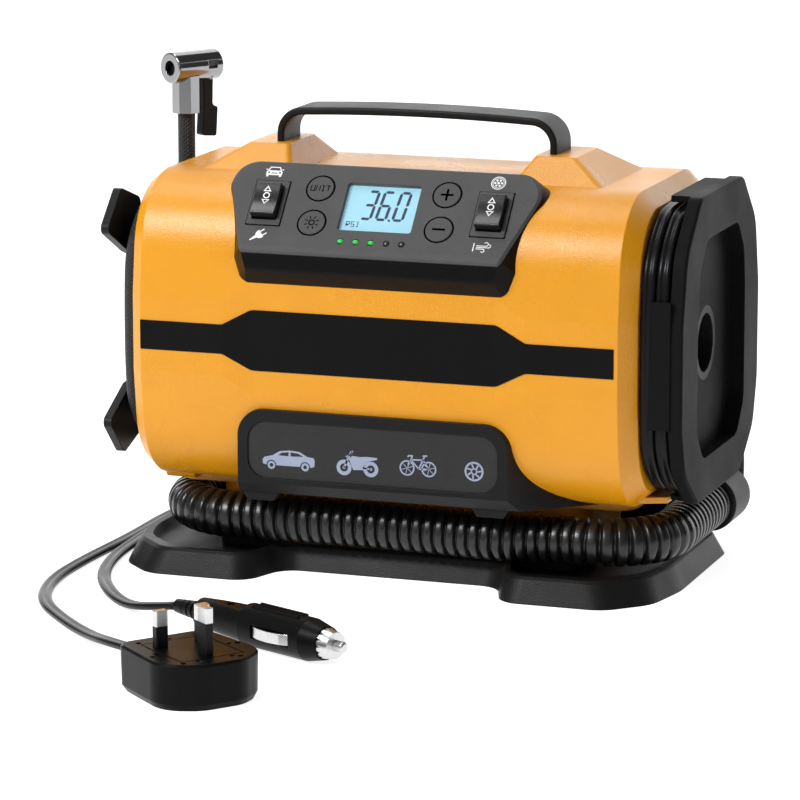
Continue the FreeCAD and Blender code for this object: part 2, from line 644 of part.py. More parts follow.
# ---- air hose spool on the left end ----
def spool_outline(x, half, radius):
    return wire(rectangle(0, BODY_Z, half, half, radius), on_x(x))


def horn(side_view):
    """Upper front blade that retains the hose; side_view gives its bends as (x, radius)."""
    outline = [(20, -9), (62, -25, 5), (HORN_REACH, -13.5, 3.5), (HORN_REACH, 14.5, 3.5),
               (50, 3.5, 8), (20, 9)]
    blade = prism(outline, on_x(REAR_HORN), Vector(30, 0, 0))
    blade = blade.common(prism(side_view, on_z(-40), Vector(0, 0, 80)))
    blade.rotate(Vector(0, 0, 0), Vector(1, 0, 0), 135)
    blade.translate(Vector(0, 0, BODY_Z))
    return blade


def horns():
    """Front blades flare out at their tips; rear ones stand clear of the hose's riser."""
    root, tip, rear = HORN_ROOT, FRONT_HORN, REAR_HORN
    flared = [(root, 10), (root, 45), (tip, 54), (tip, 95), (tip + HORN_THICK, 95),
              (tip + HORN_THICK, 57), (root + HORN_THICK, 48), (root + HORN_THICK, 10)]
    flat = [(rear, 10), (rear, 95), (rear + HORN_THICK, 95), (rear + HORN_THICK, 10)]
    upper = [horn(flared), horn(flat).mirror(Vector(0, 0, BODY_Z), Vector(0, 1, 0))]
    return upper + [blade.mirror(Vector(0, 0, BODY_Z), Vector(0, 0, 1)) for blade in upper]


def spool_cap():
    """Left end piece: square drum for the air hose, a centre block and four corner horns."""
    drum = Part.Face(spool_outline(BODY_LEFT, SPOOL_HALF, 26)).extrude(
        Vector(HOSE_LANE - HOSE_R - BODY_LEFT, 0, 0))
    block = Part.Face(spool_outline(BODY_LEFT, 24, 8)).extrude(Vector(REAR_HORN - BODY_LEFT, 0, 0))
    solid = fused([drum, block] + horns())
    hollow = Part.Face(spool_outline(BODY_LEFT, 18, 5)).extrude(
        Vector(REAR_HORN + 4 - BODY_LEFT, 0, 0))
    return solid.cut(hollow)


def air_hose_coil():
    """Outer shape of the wound air hose: two layers, one hose wide."""
    x = BODY_LEFT - 0.2
    outer = Part.Face(spool_outline(x, SPOOL_HALF + 4 * HOSE_R + 0.6, 30))
    inner = Part.Face(spool_outline(x, SPOOL_HALF + 0.2, 26))
    return outer.cut(inner).extrude(Vector(HOSE_LANE - HOSE_R - x, 0, 0))


def air_hose_riser(coil):
    """The hose's last stretch: off the wound turns, up between drum and horn to the chuck."""
    return tube("air hose riser", RISER_ROUTE, HOSE_R - 0.2).cut(coil)


# ---- tyre chuck ----
CHUCK_PLACE = Placement(Vector(RISER_X, RISER_Y, RISER_TOP),
                        Rotation(Vector(0, 0, 1), CHUCK_HEADING))


def placed(shape, place):
    copy = shape.copy()
    copy.Placement = place.multiply(shape.Placement)
    return copy


def chuck_barrel():
    """Plated barrel with the valve mouth in front, a side window and a slot for the lever."""
    z = CHUCK_AXIS_Z
    barrel = rod(Vector(CHUCK_TAIL, 0, z), Vector(CHUCK_MOUTH - CHUCK_TAIL, 0, 0), CHUCK_R)
    barrel = rounded(barrel, 0.9, lambda e: len(e.Vertexes) == 1)
    mouth = rod(Vector(CHUCK_MOUTH - MOUTH_LONG, 0, z), Vector(MOUTH_LONG + 1, 0, 0), MOUTH_R)
    seat = rod(Vector(0.5, 0, z), Vector(CHUCK_MOUTH - MOUTH_LONG - 0.5, 0, 0), SEAL_R)
    passage = rod(Vector(-4, 0, z), Vector(5, 0, 0), 2.5)
    slot = box((CHUCK_TAIL - 1, -8.2), (-2.9, 2.9), (z - 10, z - 2.6))
    window = box((CHUCK_TAIL + 4.5, CHUCK_TAIL + 10.5), (3.5, 10), (z - 1.2, z + 3.2))
    pin = rod(Vector(LEVER_PIVOT[0], -9, z + LEVER_PIVOT[1]), Vector(0, 18, 0), 1.0)
    return barrel.cut(fused([mouth, seat, passage])).cut(fused([slot, window])).cut(pin)


def chuck_seal():
    z = CHUCK_AXIS_Z
    return ring(Vector(0.5, 0, z), Vector(6, 0, 0), SEAL_R, 2.4)


def chuck_collar():
    """Eight-sided plated collar crimped on the hose, brazed to the barrel's underside."""
    around = [(7.2 / math.cos(math.pi / 8) * math.cos((i + 0.5) * math.pi / 4),
               7.2 / math.cos(math.pi / 8) * math.sin((i + 0.5) * math.pi / 4)) for i in range(8)]
    collar = prism(around, on_z(0), Vector(0, 0, 20))
    z = CHUCK_AXIS_Z
    barrel = rod(Vector(CHUCK_TAIL, 0, z), Vector(CHUCK_MOUTH - CHUCK_TAIL, 0, 0), CHUCK_R)
    stem = rod(Vector(0, 0, 0), Vector(0, 0, 15), 2.2)
    return collar.cut(barrel).cut(stem)


def chuck_lever():
    """Thumb lever that clamps the valve, pivoted under the barrel behind the collar."""
    x, z = LEVER_PIVOT
    head = rod(Vector(x, -2.6, CHUCK_AXIS_Z + z), Vector(0, 5.2, 0), 3.4)
    outline = [(x - 3.3, z), (x - 2.9, z - 15, 2), (x - 6.4, z - 16.5, 1), (x - 5.4, z - 32, 1.5),
               (x + 4.2, z - 31, 1.5), (x + 3.0, z - 15, 4), (x + 3.3, z)]
    arm = prism([(c[0], c[1] + CHUCK_AXIS_Z) + tuple(c[2:]) for c in outline], on_y(-2.6),
                Vector(0, 5.2, 0))
    hole = rod(Vector(x, -3, CHUCK_AXIS_Z + z), Vector(0, 6, 0), 1.0 + FIT)
    return fused([head, arm]).cut(hole)


def chuck_pin():
    x, z = LEVER_PIVOT
    return rod(Vector(x, -5.0, CHUCK_AXIS_Z + z), Vector(0, 10, 0), 1.0)


# ---- inflation duct stored round the neck ----
def inflation_duct():
    """Plain tube of the corrugated duct's outer size, once round the neck."""
    r, back = 36.0, -DUCT_FRONT
    edges = []

    def line(a, b):
        edges.append(Part.LineSegment(Vector(*a), Vector(*b)).toShape())

    def quarter(centre, start, radius):
        turn = [math.radians(start - step) for step in (0, 45, 90)]
        points = [Vector(centre[0] + radius * math.cos(a), centre[1] + radius * math.sin(a), DUCT_Z)
                  for a in turn]
        edges.append(Part.Arc(*points).toShape())

    line((DUCT_RIGHT, 52, DUCT_Z), (DUCT_RIGHT, DUCT_FRONT + r, DUCT_Z))
    quarter((DUCT_RIGHT - r, DUCT_FRONT + r), 0, r)
    line((DUCT_RIGHT - r, DUCT_FRONT, DUCT_Z), (DUCT_LEFT + r, DUCT_FRONT, DUCT_Z))
    quarter((DUCT_LEFT + r, DUCT_FRONT + r), -90, r)
    line((DUCT_LEFT, DUCT_FRONT + r, DUCT_Z), (DUCT_LEFT, back - r, DUCT_Z))
    quarter((DUCT_LEFT + r, back - r), 180, r)
    line((DUCT_LEFT + r, back, DUCT_Z), (98, back, DUCT_Z))
    path = Part.Wire(edges)
    start = edges[0].valueAt(0)
    across = [Part.Wire(Part.makeCircle(radius, start, Vector(0, -1, 0)))
              for radius in (DUCT_R, DUCT_R - 2)]
    solids = [path.makePipeShell([circle], True, False) for circle in across]
    print("inflation duct length", round(path.Length))
    return solids[0].cut(solids[1])


def duct_cuff():
    """Push-fit end of the duct, sized for the pump's outlet."""
    start = Vector(DUCT_RIGHT, 52, DUCT_Z)
    sleeve = rod(start, Vector(0, 30, 0), CUFF_R)
    sleeve = rounded(sleeve, 1.2, lambda e: len(e.Vertexes) == 1)
    return sleeve.cut(rod(start, Vector(0, 30, 0), DUCT_R - 2))


def duct_nozzle():
    """Tapered valve nozzle on the duct's other end."""
    start = Vector(98, -DUCT_FRONT, DUCT_Z)
    nozzle = Part.makeCone(DUCT_R + 0.5, 8.5, 22, start, Vector(1, 0, 0))
    return nozzle.cut(Part.makeCone(DUCT_R - 2, 6.5, 22, start, Vector(1, 0, 0)))


# ---- mains plug (BS 1363 pins) ----
PLUG_PINS = {"earth": (13.0, 0.0, 3.975, 1.975, 22.73),
             "line": (-9.23, 11.11, 3.175, 1.99, 17.7),
             "neutral": (-9.23, -11.11, 3.175, 1.99, 17.7)}


def plug_pin(name, low, high, shrink=0.0):
    x, y, long, thin, _ = PLUG_PINS[name]
    half_x, half_y = (long, thin) if name == "earth" else (thin, long)
    corners = rectangle(x, y, half_x - shrink, half_y - shrink, 0.5)
    return prism(corners, on_z(low), Vector(0, 0, high - low))


def plug_pins():
    """Three plated pins, each narrower below its bare tip where the sleeve fits."""
    pins = []
    for name, (*_, length) in PLUG_PINS.items():
        tip = PLUG_TOP + length
        bare = plug_pin(name, tip - 7.5, tip)
        bare = rounded(bare, 0.45, lambda e, top=tip: abs(e.CenterOfMass.z - top) < 0.01)
        core = plug_pin(name, PLUG_TOP - 12, tip - 7.5, 0.6)
        pins.append(fused([bare, core]))
    return Part.Compound(pins)


def plug_sleeves():
    """Insulating sleeves on the lower part of the pins."""
    sleeves = []
    for name, (*_, length) in PLUG_PINS.items():
        whole = plug_pin(name, PLUG_TOP, PLUG_TOP + length - 7.5)
        sleeves.append(whole.cut(plug_pin(name, PLUG_TOP - 1, PLUG_TOP + length, 0.6)))
    return Part.Compound(sleeves)


def plug_outline(z, inset):
    back, front, side = PLUG_BACK + inset, PLUG_FRONT - inset, PLUG_SIDE - inset
    corners = [(back, -side + 4, 7), (18, -side, 17), (front, -11, 15),
               (front, 11, 15), (18, side, 17), (back, side - 4, 7)]
    return wire(corners, on_z(z))


def plug_body():
    """Moulded plug lying on its back: drafted sides, finger grips, sunken face details."""
    foot = loft(plug_outline(0, 2.0), plug_outline(3, 0.3))
    side = loft(plug_outline(3, 0.3), plug_outline(PLUG_TOP - 1, 0.0))
    crown = loft(plug_outline(PLUG_TOP - 1, 0.0), plug_outline(PLUG_TOP, 1.0))
    body = fused([foot, side, crown])
    for s in (-1, 1):
        grip = rod(Vector(-36, s * (PLUG_SIDE + 8.2), 11), Vector(32, s * 2.2, 0), 11.5)
        body = body.cut(grip)
    holes = [rod(Vector(x, y, PLUG_TOP - 3), Vector(0, 0, 4), 1.3)
             for x, y in ((22, 9), (22, -9), (2, 19), (2, -19), (-20, 0))]
    face = prism(rectangle(1, 0, 19, 17, 1), on_z(PLUG_TOP - 0.5), Vector(0, 0, 1))
    island = prism(rectangle(1, 0, 18.2, 16.2, 1), on_z(PLUG_TOP - 0.6), Vector(0, 0, 1.2))
    pins = [plug_pin(name, PLUG_TOP - 12, PLUG_TOP + 1, 0.6) for name in PLUG_PINS]
    return body.cut(Part.Compound(holes)).cut(face.cut(island)).cut(Part.Compound(pins))


def strain_relief(length, start_r, end_r, ribs):
    """Tapered boot from the local origin towards -X, grooved across."""
    boot = Part.makeCone(start_r, end_r, length, Vector(0, 0, 0), Vector(-1, 0, 0))
    grooves = []
    for i in range(ribs):
        at = -length * (i + 0.8) / (ribs + 0.6)
        grooves.append(ring(Vector(at, 0, 0), Vector(-1.3, 0, 0), start_r + 2, end_r + 0.35))
    return boot.cut(Part.Compound(grooves))


def plug_relief():
    boot = strain_relief(22, 5.6, 3.6, 5)
    boot.translate(Vector(PLUG_BACK, 0, 10))
    return boot


# ---- 12 V plug ----
def lighter_body():
    """Body of the 12 V plug: flattened rear grip, ribbed barrel, stepped nose."""
    x = Vector(1, 0, 0)
    grip = Part.makeCone(7.2, 9.6, 34, Vector(0, 0, 0), x)
    grip = grip.common(box((0, 34), (-12, 12), (-7.6, 7.6)))
    barrel = rod(Vector(34, 0, 0), Vector(42, 0, 0), LIGHTER_R)
    nose = Part.makeCone(LIGHTER_R, 8.2, 10, Vector(76, 0, 0), x)
    body = fused([grip, barrel, nose])
    body = body.cut(rod(Vector(66, 0, 0), Vector(21, 0, 0), 5.2))
    for s in (-1, 1):
        y = s * 6.5
        body = body.cut(box((44, 70), (min(y, 3 * y), max(y, 3 * y)), (-3.2, 3.2)))
    body = body.cut(rod(Vector(20, 0, 6.2), Vector(0, 0, 3), 2.2))
    ribs = [box((38, 70), (-3.6 + i * 3.0, -2.4 + i * 3.0), (8.6, 10.9)) for i in range(3)]
    return fused([body] + ribs)


def lighter_contacts():
    """Two sprung side contacts standing proud of the barrel."""
    strips = []
    for s in (-1, 1):
        bow = [(45, 6.5), (45, 9.6), (50, 11.4, 6), (57, 12.2, 12), (64, 11.4, 6), (69, 9.6),
               (69, 6.5), (67.8, 6.5), (67.8, 9.0), (57, 11.0, 16), (46.2, 9.0), (46.2, 6.5)]
        strips.append(prism([(c[0], s * c[1]) + tuple(c[2:]) for c in bow], on_z(-2.6),
                            Vector(0, 0, 5.2)))
    return Part.Compound(strips)


def lighter_ring():
    """Knurled retaining ring round the tip."""
    collar = Part.makeCone(7.6, 6.4, 6, Vector(86, 0, 0), Vector(1, 0, 0))
    grooves = []
    for i in range(14):
        a = 2 * math.pi * i / 14
        grooves.append(rod(Vector(85, 8.0 * math.cos(a), 8.0 * math.sin(a)), Vector(8, 0, 0), 0.9))
    bore = rod(Vector(85, 0, 0), Vector(9, 0, 0), 2.6 + FIT)
    return collar.cut(Part.Compound(grooves)).cut(bore)


def lighter_tip():
    """Centre contact: a pin through the ring with a shoulder behind it."""
    pin = rod(Vector(84, 0, 0), Vector(14, 0, 0), 2.6)
    pin = rounded(pin, 1.2, lambda e: abs(e.CenterOfMass.x - 98) < 0.01)
    return fused([pin, rod(Vector(82, 0, 0), Vector(3.9, 0, 0), 4.9)])


def lighter_relief():
    return strain_relief(18, 5.0, 3.4, 4)


# ---- works inside the body ----
def involute_tooth(teeth, thin):
    """Flank corners of one tooth, centred on angle 0, as (radius, half angle)."""
    pitch = GEAR_MODULE * teeth / 2
    base = pitch * math.cos(math.radians(20))
    outer, root = pitch + 0.85 * GEAR_MODULE, pitch - 1.2 * GEAR_MODULE
    roll = math.tan(math.radians(20)) - math.radians(20)
    half = math.pi / (2 * teeth) - thin / pitch
    flank = [(root, half + roll)]
    for i in range(5):
        radius = max(base, root + 0.1) + (outer - max(base, root + 0.1)) * i / 4
        turn = math.sqrt(max(radius ** 2 / base ** 2 - 1, 0))
        flank.append((radius, half + roll - (turn - math.atan(turn))))
    return flank


def gear(teeth, x, centre, phase, thin=0.12):
    """Spur gear with axis along X, a tooth pointing at the given angle in the YZ plane."""
    flank = involute_tooth(teeth, thin)
    corners = []
    for i in range(teeth):
        middle = phase + 2 * math.pi * i / teeth
        for radius, half in flank:
            corners.append((radius, middle - half))
        for radius, half in reversed(flank):
            corners.append((radius, middle + half))
    outline = [(centre[0] + r * math.cos(a), centre[1] + r * math.sin(a)) for r, a in corners]
    return prism(outline, on_x(x), Vector(GEAR_THICK, 0, 0))


PINION_Y = GEAR_MODULE * (GEAR_TEETH + PINION_TEETH) / 2 + 0.1


def crank_gear():
    """Large gear with its crank pin at the bottom of its stroke."""
    wheel = gear(GEAR_TEETH, GEAR_BACK, (0, GEAR_Z), math.pi / GEAR_TEETH)
    bore = rod(Vector(GEAR_BACK - 1, 0, GEAR_Z), Vector(GEAR_THICK + 2, 0, 0), 3 + FIT)
    pin = rod(Vector(GEAR_BACK - 4, 0, GEAR_Z - CRANK), Vector(4, 0, 0), 2)
    return fused([wheel, pin]).cut(bore)


def drive_pinion():
    """Motor pinion and its shaft."""
    wheel = gear(PINION_TEETH, GEAR_BACK, (PINION_Y, GEAR_Z), math.pi)
    shaft = rod(Vector(GEAR_BACK - 1, PINION_Y, GEAR_Z), Vector(60, 0, 0), 1.6)
    return fused([wheel, shaft])


def gear_plate():
    """Steel plate on two feet that carries the motor, the gear's stub shaft and the cylinder."""
    plate = box((-33, -30), (-32, 54), (58, 164))
    feet = [box((-33, -30), y, (48, 58)) for y in ((-32, -28), (28, 32))]
    stub = rod(Vector(GEAR_BACK - 0.5, 0, GEAR_Z), Vector(8, 0, 0), 3)
    hole = rod(Vector(-34, PINION_Y, GEAR_Z), Vector(5, 0, 0), 6)
    return fused([plate, stub] + feet).cut(hole)


def compressor_motor():
    body = rod(Vector(-30, PINION_Y, GEAR_Z), Vector(52, 0, 0), 18)
    nose = rod(Vector(-33, PINION_Y, GEAR_Z), Vector(3, 0, 0), 6)
    bore = rod(Vector(-34, PINION_Y, GEAR_Z), Vector(55, 0, 0), 1.6 + FIT)
    return fused([body, nose]).cut(bore)


def piston():
    """Piston with its connecting rod; the big end stands clear of the crank pin's end."""
    crown = rod(Vector(CYLINDER_X, 0, 134), Vector(0, 0, 9), PISTON_R - FIT)
    low = GEAR_Z - CRANK
    shank = box((CYLINDER_X - 2.5, CYLINDER_X + 2.5), (-3, 3), (low, 134))
    eye = rod(Vector(CYLINDER_X - 3, 0, low), Vector(9.5, 0, 0), 5)
    bore = rod(Vector(CYLINDER_X - 4, 0, low), Vector(11, 0, 0), 2.1)
    return fused([crown, shank, eye]).cut(bore)


def cylinder():
    """Finned cylinder with a closed head, bolted to the gear plate."""
    wall = rod(Vector(CYLINDER_X, 0, 130), Vector(0, 0, 40), 14.5)
    fins = [rod(Vector(CYLINDER_X, 0, z), Vector(0, 0, 1.5), 18.5) for z in (138, 144, 150, 156)]
    foot = box((CYLINDER_X, -33), (-10, 10), (134, 160))
    barb = rod(Vector(CYLINDER_X - 24, 0, 166), Vector(12, 0, 0), 2.5)
    bore = rod(Vector(CYLINDER_X, 0, 129), Vector(0, 0, 33), PISTON_R)
    return fused([wall, foot, barb] + fins).cut(bore)


def pressure_tube(walls):
    """Tube from the cylinder head to the spool drum on the left end."""
    route = [(-76, 0, 166), (-88, 0, 166), (-101, 0.5, 158), (-113, 0.5, 146),
             (-122, 0, 142), (BODY_LEFT, 0, 142)]
    return tube("pressure tube", route, 4).cut(walls)


def blower_motor():
    body = rod(Vector(24, 0, BODY_Z), Vector(52, 0, 0), 22)
    bore = rod(Vector(23, 0, BODY_Z), Vector(54, 0, 0), 2 + FIT)
    return body.cut(bore)


def impeller():
    """Fan wheel with curved blades, on the blower motor's shaft."""
    axis = Vector(1, 0, 0)
    disc = rod(Vector(IMPELLER_X, 0, BODY_Z), axis * 2, IMPELLER_R)
    hub = rod(Vector(IMPELLER_X, 0, BODY_Z), axis * 14, 9)
    shaft = rod(Vector(26, 0, BODY_Z), axis * 60, 2)
    blades = []
    for i in range(9):
        a = 2 * math.pi * i / 9
        centre = Vector(IMPELLER_X + 1, 22 * math.cos(a), BODY_Z + 22 * math.sin(a))
        arc = ring(centre, axis * 12, 22, 20.4)
        keep = prism([(0, 0), (60, 0), (60, 60)], on_x(IMPELLER_X), axis * 20)
        keep.rotate(Vector(0, 0, 0), axis, math.degrees(a))
        keep.translate(Vector(0, 0, BODY_Z))
        wheel = ring(Vector(IMPELLER_X, 0, BODY_Z), axis * 14, IMPELLER_R - 1, 8)
        blades.append(arc.common(keep).common(wheel))
    return fused([disc, hub, shaft] + blades)


def volute():
    """Blower casing: drum with an inlet at the motor side and an outlet tube to the reel's dish."""
    axis = Vector(1, 0, 0)
    centre = Vector(79, 0, BODY_Z)
    drum = rod(centre, axis * 31, 52)
    hollow = rod(centre + Vector(2, 0, 0), axis * 27, 49.5)
    inlet = ring(centre - axis, axis * 5, 40, 26)
    outlet = rod(Vector(104, 0, BODY_Z - 2), axis * 50, PORT_BORE)
    spokes = box((79, 81), (-42, 42), (BODY_Z - 3, BODY_Z + 3))
    shaft = rod(Vector(75, 0, BODY_Z), axis * 11, 2.6)
    mount = rod(Vector(76, 0, BODY_Z), axis * 3, 14)
    tail = rod(Vector(109, 0, BODY_Z - 2), axis * (REEL_FLOOR - 109), PORT_R)
    return fused([drum.cut(hollow).cut(inlet), spokes, mount, tail]).cut(outlet).cut(shaft)


def power_supply():
    """Mains converter: board, transformer, heat sink and two capacitors."""
    top = SUPPLY_Z + 1.6
    board = box((-10, 70), (18, 54), (SUPPLY_Z, top))
    core = box((2, 28), (24, 48), (top, 66))
    sink = box((36, 40), (20, 52), (top, 78))
    caps = [rod(Vector(54, y, top), Vector(0, 0, 18), 6) for y in (28, 44)]
    return fused([board, core, sink] + caps)


# ---- assembly ----
def build():
    nodes = {}
    block = body_block()
    nodes["handle"] = handle()
    nodes["panel_housing"] = panel_housing(block)
    opening = panel_prism(panel_outline(TUB_INSET - 0.1), -PANEL_DEPTH - 12, 8)
    body = whole_body(block)
    body = body.cut(opening).cut(panel_block().cut(block))
    body = body.cut(Part.Compound([nodes["handle"]] + screw_cuts()))
    body = body.cut(rod(Vector(100, 0, BODY_Z - 2), Vector(60, 0, 0), PORT_R))
    body = body.cut(rod(Vector(BODY_LEFT - 1, 0, 142), Vector(8, 0, 0), 4))
    body = body.cut(Part.Compound(base_screws()))
    front_half = box((-200, 200), (-200, SEAM_Y), (0, 300))
    nodes["housing_front"] = body.common(front_half)
    nodes["housing_rear"] = body.cut(front_half)
    nodes["base_plate"] = base_plate()
    nodes["base_pads"] = pads()
    nodes["case_screws"] = Part.Compound(housing_screws() + base_screws())
    for name, (s, t) in BUTTON_PLACES.items():
        nodes[name] = button(s, t)
    nodes["switch_frames"] = switch_frames()
    nodes["power_rocker"] = rocker(-1)
    nodes["air_rocker"] = rocker(1)
    nodes["display_window"] = display_window()
    nodes["display_module"] = display_module()
    nodes["led_lenses"] = led_lenses()
    nodes["control_board"] = control_board()
    nodes["stripe_foil"] = stripe_foil()
    nodes["badge_housing"] = badge_housing(block)
    nodes["badge_insert"] = badge_insert()
    nodes["reel_hub"] = reel_hub()
    nodes["reel_plate"] = reel_plate()
    nodes["dc_coil"] = dc_coil()
    nodes["mains_coil"] = mains_coil()
    nodes["spool_cap"] = spool_cap()
    nodes["air_hose_coil"] = air_hose_coil()
    nodes["air_hose_riser"] = air_hose_riser(nodes["air_hose_coil"])
    for part in (chuck_barrel, chuck_seal, chuck_collar, chuck_lever, chuck_pin):
        nodes[part.__name__] = placed(part(), CHUCK_PLACE)
    nodes["inflation_duct"] = inflation_duct()
    nodes["duct_cuff"] = duct_cuff()
    nodes["duct_nozzle"] = duct_nozzle()
    for part in (plug_body, plug_pins, plug_sleeves, plug_relief):
        nodes[part.__name__] = placed(part(), PLUG_PLACE)
    for part in (lighter_body, lighter_contacts, lighter_ring, lighter_tip, lighter_relief):
        nodes[part.__name__] = placed(part(), LIGHTER_PLACE)
    wound = [nodes["mains_coil"], nodes["dc_coil"]]
    mains = tube("mains lead", MAINS_ROUTE, CORD_THICK / 2)
    nodes["mains_lead"] = mains.cut(Part.Compound(wound + [nodes["plug_relief"]]))
    low_volt = tube("12 V lead", DC_ROUTE, CORD_THICK / 2)
    nodes["dc_lead"] = low_volt.cut(Part.Compound(wound + [nodes["lighter_relief"]]))
    for part in (crank_gear, drive_pinion, gear_plate, compressor_motor, piston, cylinder,
                 blower_motor, impeller, volute, power_supply):
        nodes[part.__name__] = part()
    nodes["pressure_tube"] = pressure_tube(nodes["spool_cap"])
    return nodes


def main():
    os.makedirs("parts", exist_ok=True)
    for name, shape in build().items():
        solids = shape.Solids
        if not shape.isValid() or not solids:
            print("not sound:", name)
        shape.exportStep("parts/" + name + ".step")
        print(name, "solids", len(solids), "volume", round(shape.Volume))


main()
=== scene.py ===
"""Looks of the electric air pump: its hoses, leads, prints, materials, studio and camera.

All lengths are in metres unless a name or comment says mm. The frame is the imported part's own:
+X towards the cord reel, -Y towards the front, +Z up, origin under the middle of the base.
"""
import math

import bpy
import bmesh
from mathutils import Matrix, Vector
from mathutils.geometry import tessellate_polygon
from mathutils.bvhtree import BVHTree
from mathutils.noise import noise


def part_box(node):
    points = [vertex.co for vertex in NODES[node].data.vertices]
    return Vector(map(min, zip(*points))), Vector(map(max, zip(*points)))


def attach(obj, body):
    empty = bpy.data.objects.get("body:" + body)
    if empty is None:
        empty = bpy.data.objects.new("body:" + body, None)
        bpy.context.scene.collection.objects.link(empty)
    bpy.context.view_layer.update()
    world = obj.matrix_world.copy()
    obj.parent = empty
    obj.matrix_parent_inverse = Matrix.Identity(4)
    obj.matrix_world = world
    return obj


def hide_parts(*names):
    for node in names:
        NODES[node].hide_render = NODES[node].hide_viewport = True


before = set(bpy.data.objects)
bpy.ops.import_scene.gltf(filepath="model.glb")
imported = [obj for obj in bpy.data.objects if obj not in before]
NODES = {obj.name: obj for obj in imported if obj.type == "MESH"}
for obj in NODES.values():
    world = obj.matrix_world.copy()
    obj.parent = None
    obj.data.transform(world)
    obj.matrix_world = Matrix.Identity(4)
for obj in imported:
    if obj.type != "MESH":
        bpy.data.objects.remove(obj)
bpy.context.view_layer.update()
MM = 0.001

# ---- places taken from the frame ----
LEAN = math.radians(41.0)
PANEL_UP = Vector((0, math.sin(LEAN), math.cos(LEAN)))
PANEL_OUT = Vector((0, -math.cos(LEAN), math.sin(LEAN)))
WINDOW_MIDDLE_DEPTH = 1.5 * MM             # of the display window's middle, below the panel's face
PANEL_CENTRE = sum(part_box("display_window"), Vector()) / 2 + PANEL_OUT * WINDOW_MIDDLE_DEPTH
BODY_Z = 125 * MM
INSERT_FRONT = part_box("badge_insert")[0].y

# ---- wound leads and hose, in mm like the routes below ----
HUB_Y, HUB_Z, HUB_R = 57.5, 58.5, 30.0     # half sizes and corner radius of the reel's drum
LEAD_WIDE, LEAD_THICK = 7.0, 3.6
LANE_A, LANE_B = 140.4, 147.8              # X of the two rows of wound lead
SPOOL_HALF, SPOOL_R = 48.0, 26.0           # half size and corner radius of the hose's spool
HOSE_R, HOSE_X = 4.6, -136.0               # the hose, and X of its turns
FLOOR = 1.9                                # height of a lead's middle where it lies on the ground
STEP = 2.5 * MM                            # between the sections of a lead or hose
MAINS_ROUTE = [
    (147.8, 70.1, 116), (147.8, 70.4, 92), (147.4, 75, 68), (146, 89, 46), (142, 102, 22),
    (126, 109, 5), (92, 111, FLOOR), (46, 108, FLOOR), (-2, 111, FLOOR), (-50, 108, FLOOR),
    (-96, 111, FLOOR), (-134, 103, FLOOR), (-155, 76, FLOOR), (-159, 32, FLOOR),
    (-158, -18, FLOOR), (-161, -70, FLOOR), (-160, -118, FLOOR), (-147, -160, FLOOR),
    (-120, -193, FLOOR), (-96, -220, 3.5), (-73.5, -245.7, 8), (-52.4, -262.2, 10),
]
DC_ROUTE = [
    (140.5, 70.1, 116), (140.5, 70.4, 92), (140, 74, 68), (139, 86, 48), (136, 96, 26),
    (122, 101, 7), (92, 101.5, FLOOR), (50, 98.5, FLOOR), (2, 101.5, FLOOR),
    (-46, 98.5, FLOOR), (-90, 101.5, FLOOR), (-127, 95, FLOOR), (-150, 68, FLOOR),
    (-154, 26, FLOOR), (-152.5, -18, FLOOR), (-149.5, -62, FLOOR), (-139, -102, FLOOR),
    (-120, -135, FLOOR), (-102, -156, 2.5), (-85, -170.5, 6.5), (-65.8, -179, 10.6),
]
RISER_ROUTE = [
    (-142, -18, 58), (-145.6, 16, 62), (-145.6, 36, 86), (-145.6, 36.9, 124),
    (-145.6, 37, 174), (-145.6, 37, 222.5),
]


# ---- materials ----
def node_of(tree, kind, **settings):
    made = tree.nodes.new(kind)
    for name, value in settings.items():
        if hasattr(made, name):
            setattr(made, name, value)
        else:
            made.inputs[name.replace("_", " ")].default_value = value
    return made


def speckled(tree, low, high, scale, detail=4.0):
    """A value socket of object-space noise mapped from low to high."""
    place = node_of(tree, "ShaderNodeTexCoord")
    cloud = node_of(tree, "ShaderNodeTexNoise", Scale=scale, Detail=detail)
    tree.links.new(place.outputs["Object"], cloud.inputs["Vector"])
    span = node_of(tree, "ShaderNodeMapRange")
    span.inputs["From Min"].default_value = 0.3
    span.inputs["From Max"].default_value = 0.7
    span.inputs["To Min"].default_value = low
    span.inputs["To Max"].default_value = high
    tree.links.new(cloud.outputs["Fac"], span.inputs["Value"])
    return span.outputs["Result"]


def material(name, colour, rough, grain=0.0, grain_scale=1500, edge=0.0006, vary=0.06,
             rough_span=0.06, metal=0.0, specular=0.5):
    """Moulded or plated surface: slight colour and gloss variation, fine grain, softened edges."""
    made = bpy.data.materials.new(name)
    made.use_nodes = True
    tree = made.node_tree
    shader = tree.nodes["Principled BSDF"]
    shader.inputs["Metallic"].default_value = metal
    shader.inputs["Specular IOR Level"].default_value = specular
    mix = node_of(tree, "ShaderNodeMix", data_type="RGBA")
    mix.inputs["A"].default_value = (*[c * (1 - vary) for c in colour], 1)
    mix.inputs["B"].default_value = (*[min(1, c * (1 + vary)) for c in colour], 1)
    tree.links.new(speckled(tree, 0, 1, 60), mix.inputs["Factor"])
    tree.links.new(mix.outputs["Result"], shader.inputs["Base Color"])
    gloss = speckled(tree, rough - rough_span, rough + rough_span, 25)
    tree.links.new(gloss, shader.inputs["Roughness"])
    normal = None
    if edge:
        soft = node_of(tree, "ShaderNodeBevel", samples=6, Radius=edge)
        normal = soft.outputs["Normal"]
    if grain:
        bump = node_of(tree, "ShaderNodeBump", Strength=grain, Distance=0.0002)
        tree.links.new(speckled(tree, 0, 1, grain_scale, 2.0), bump.inputs["Height"])
        if normal:
            tree.links.new(normal, bump.inputs["Normal"])
        normal = bump.outputs["Normal"]
    if normal:
        tree.links.new(normal, shader.inputs["Normal"])
    return made


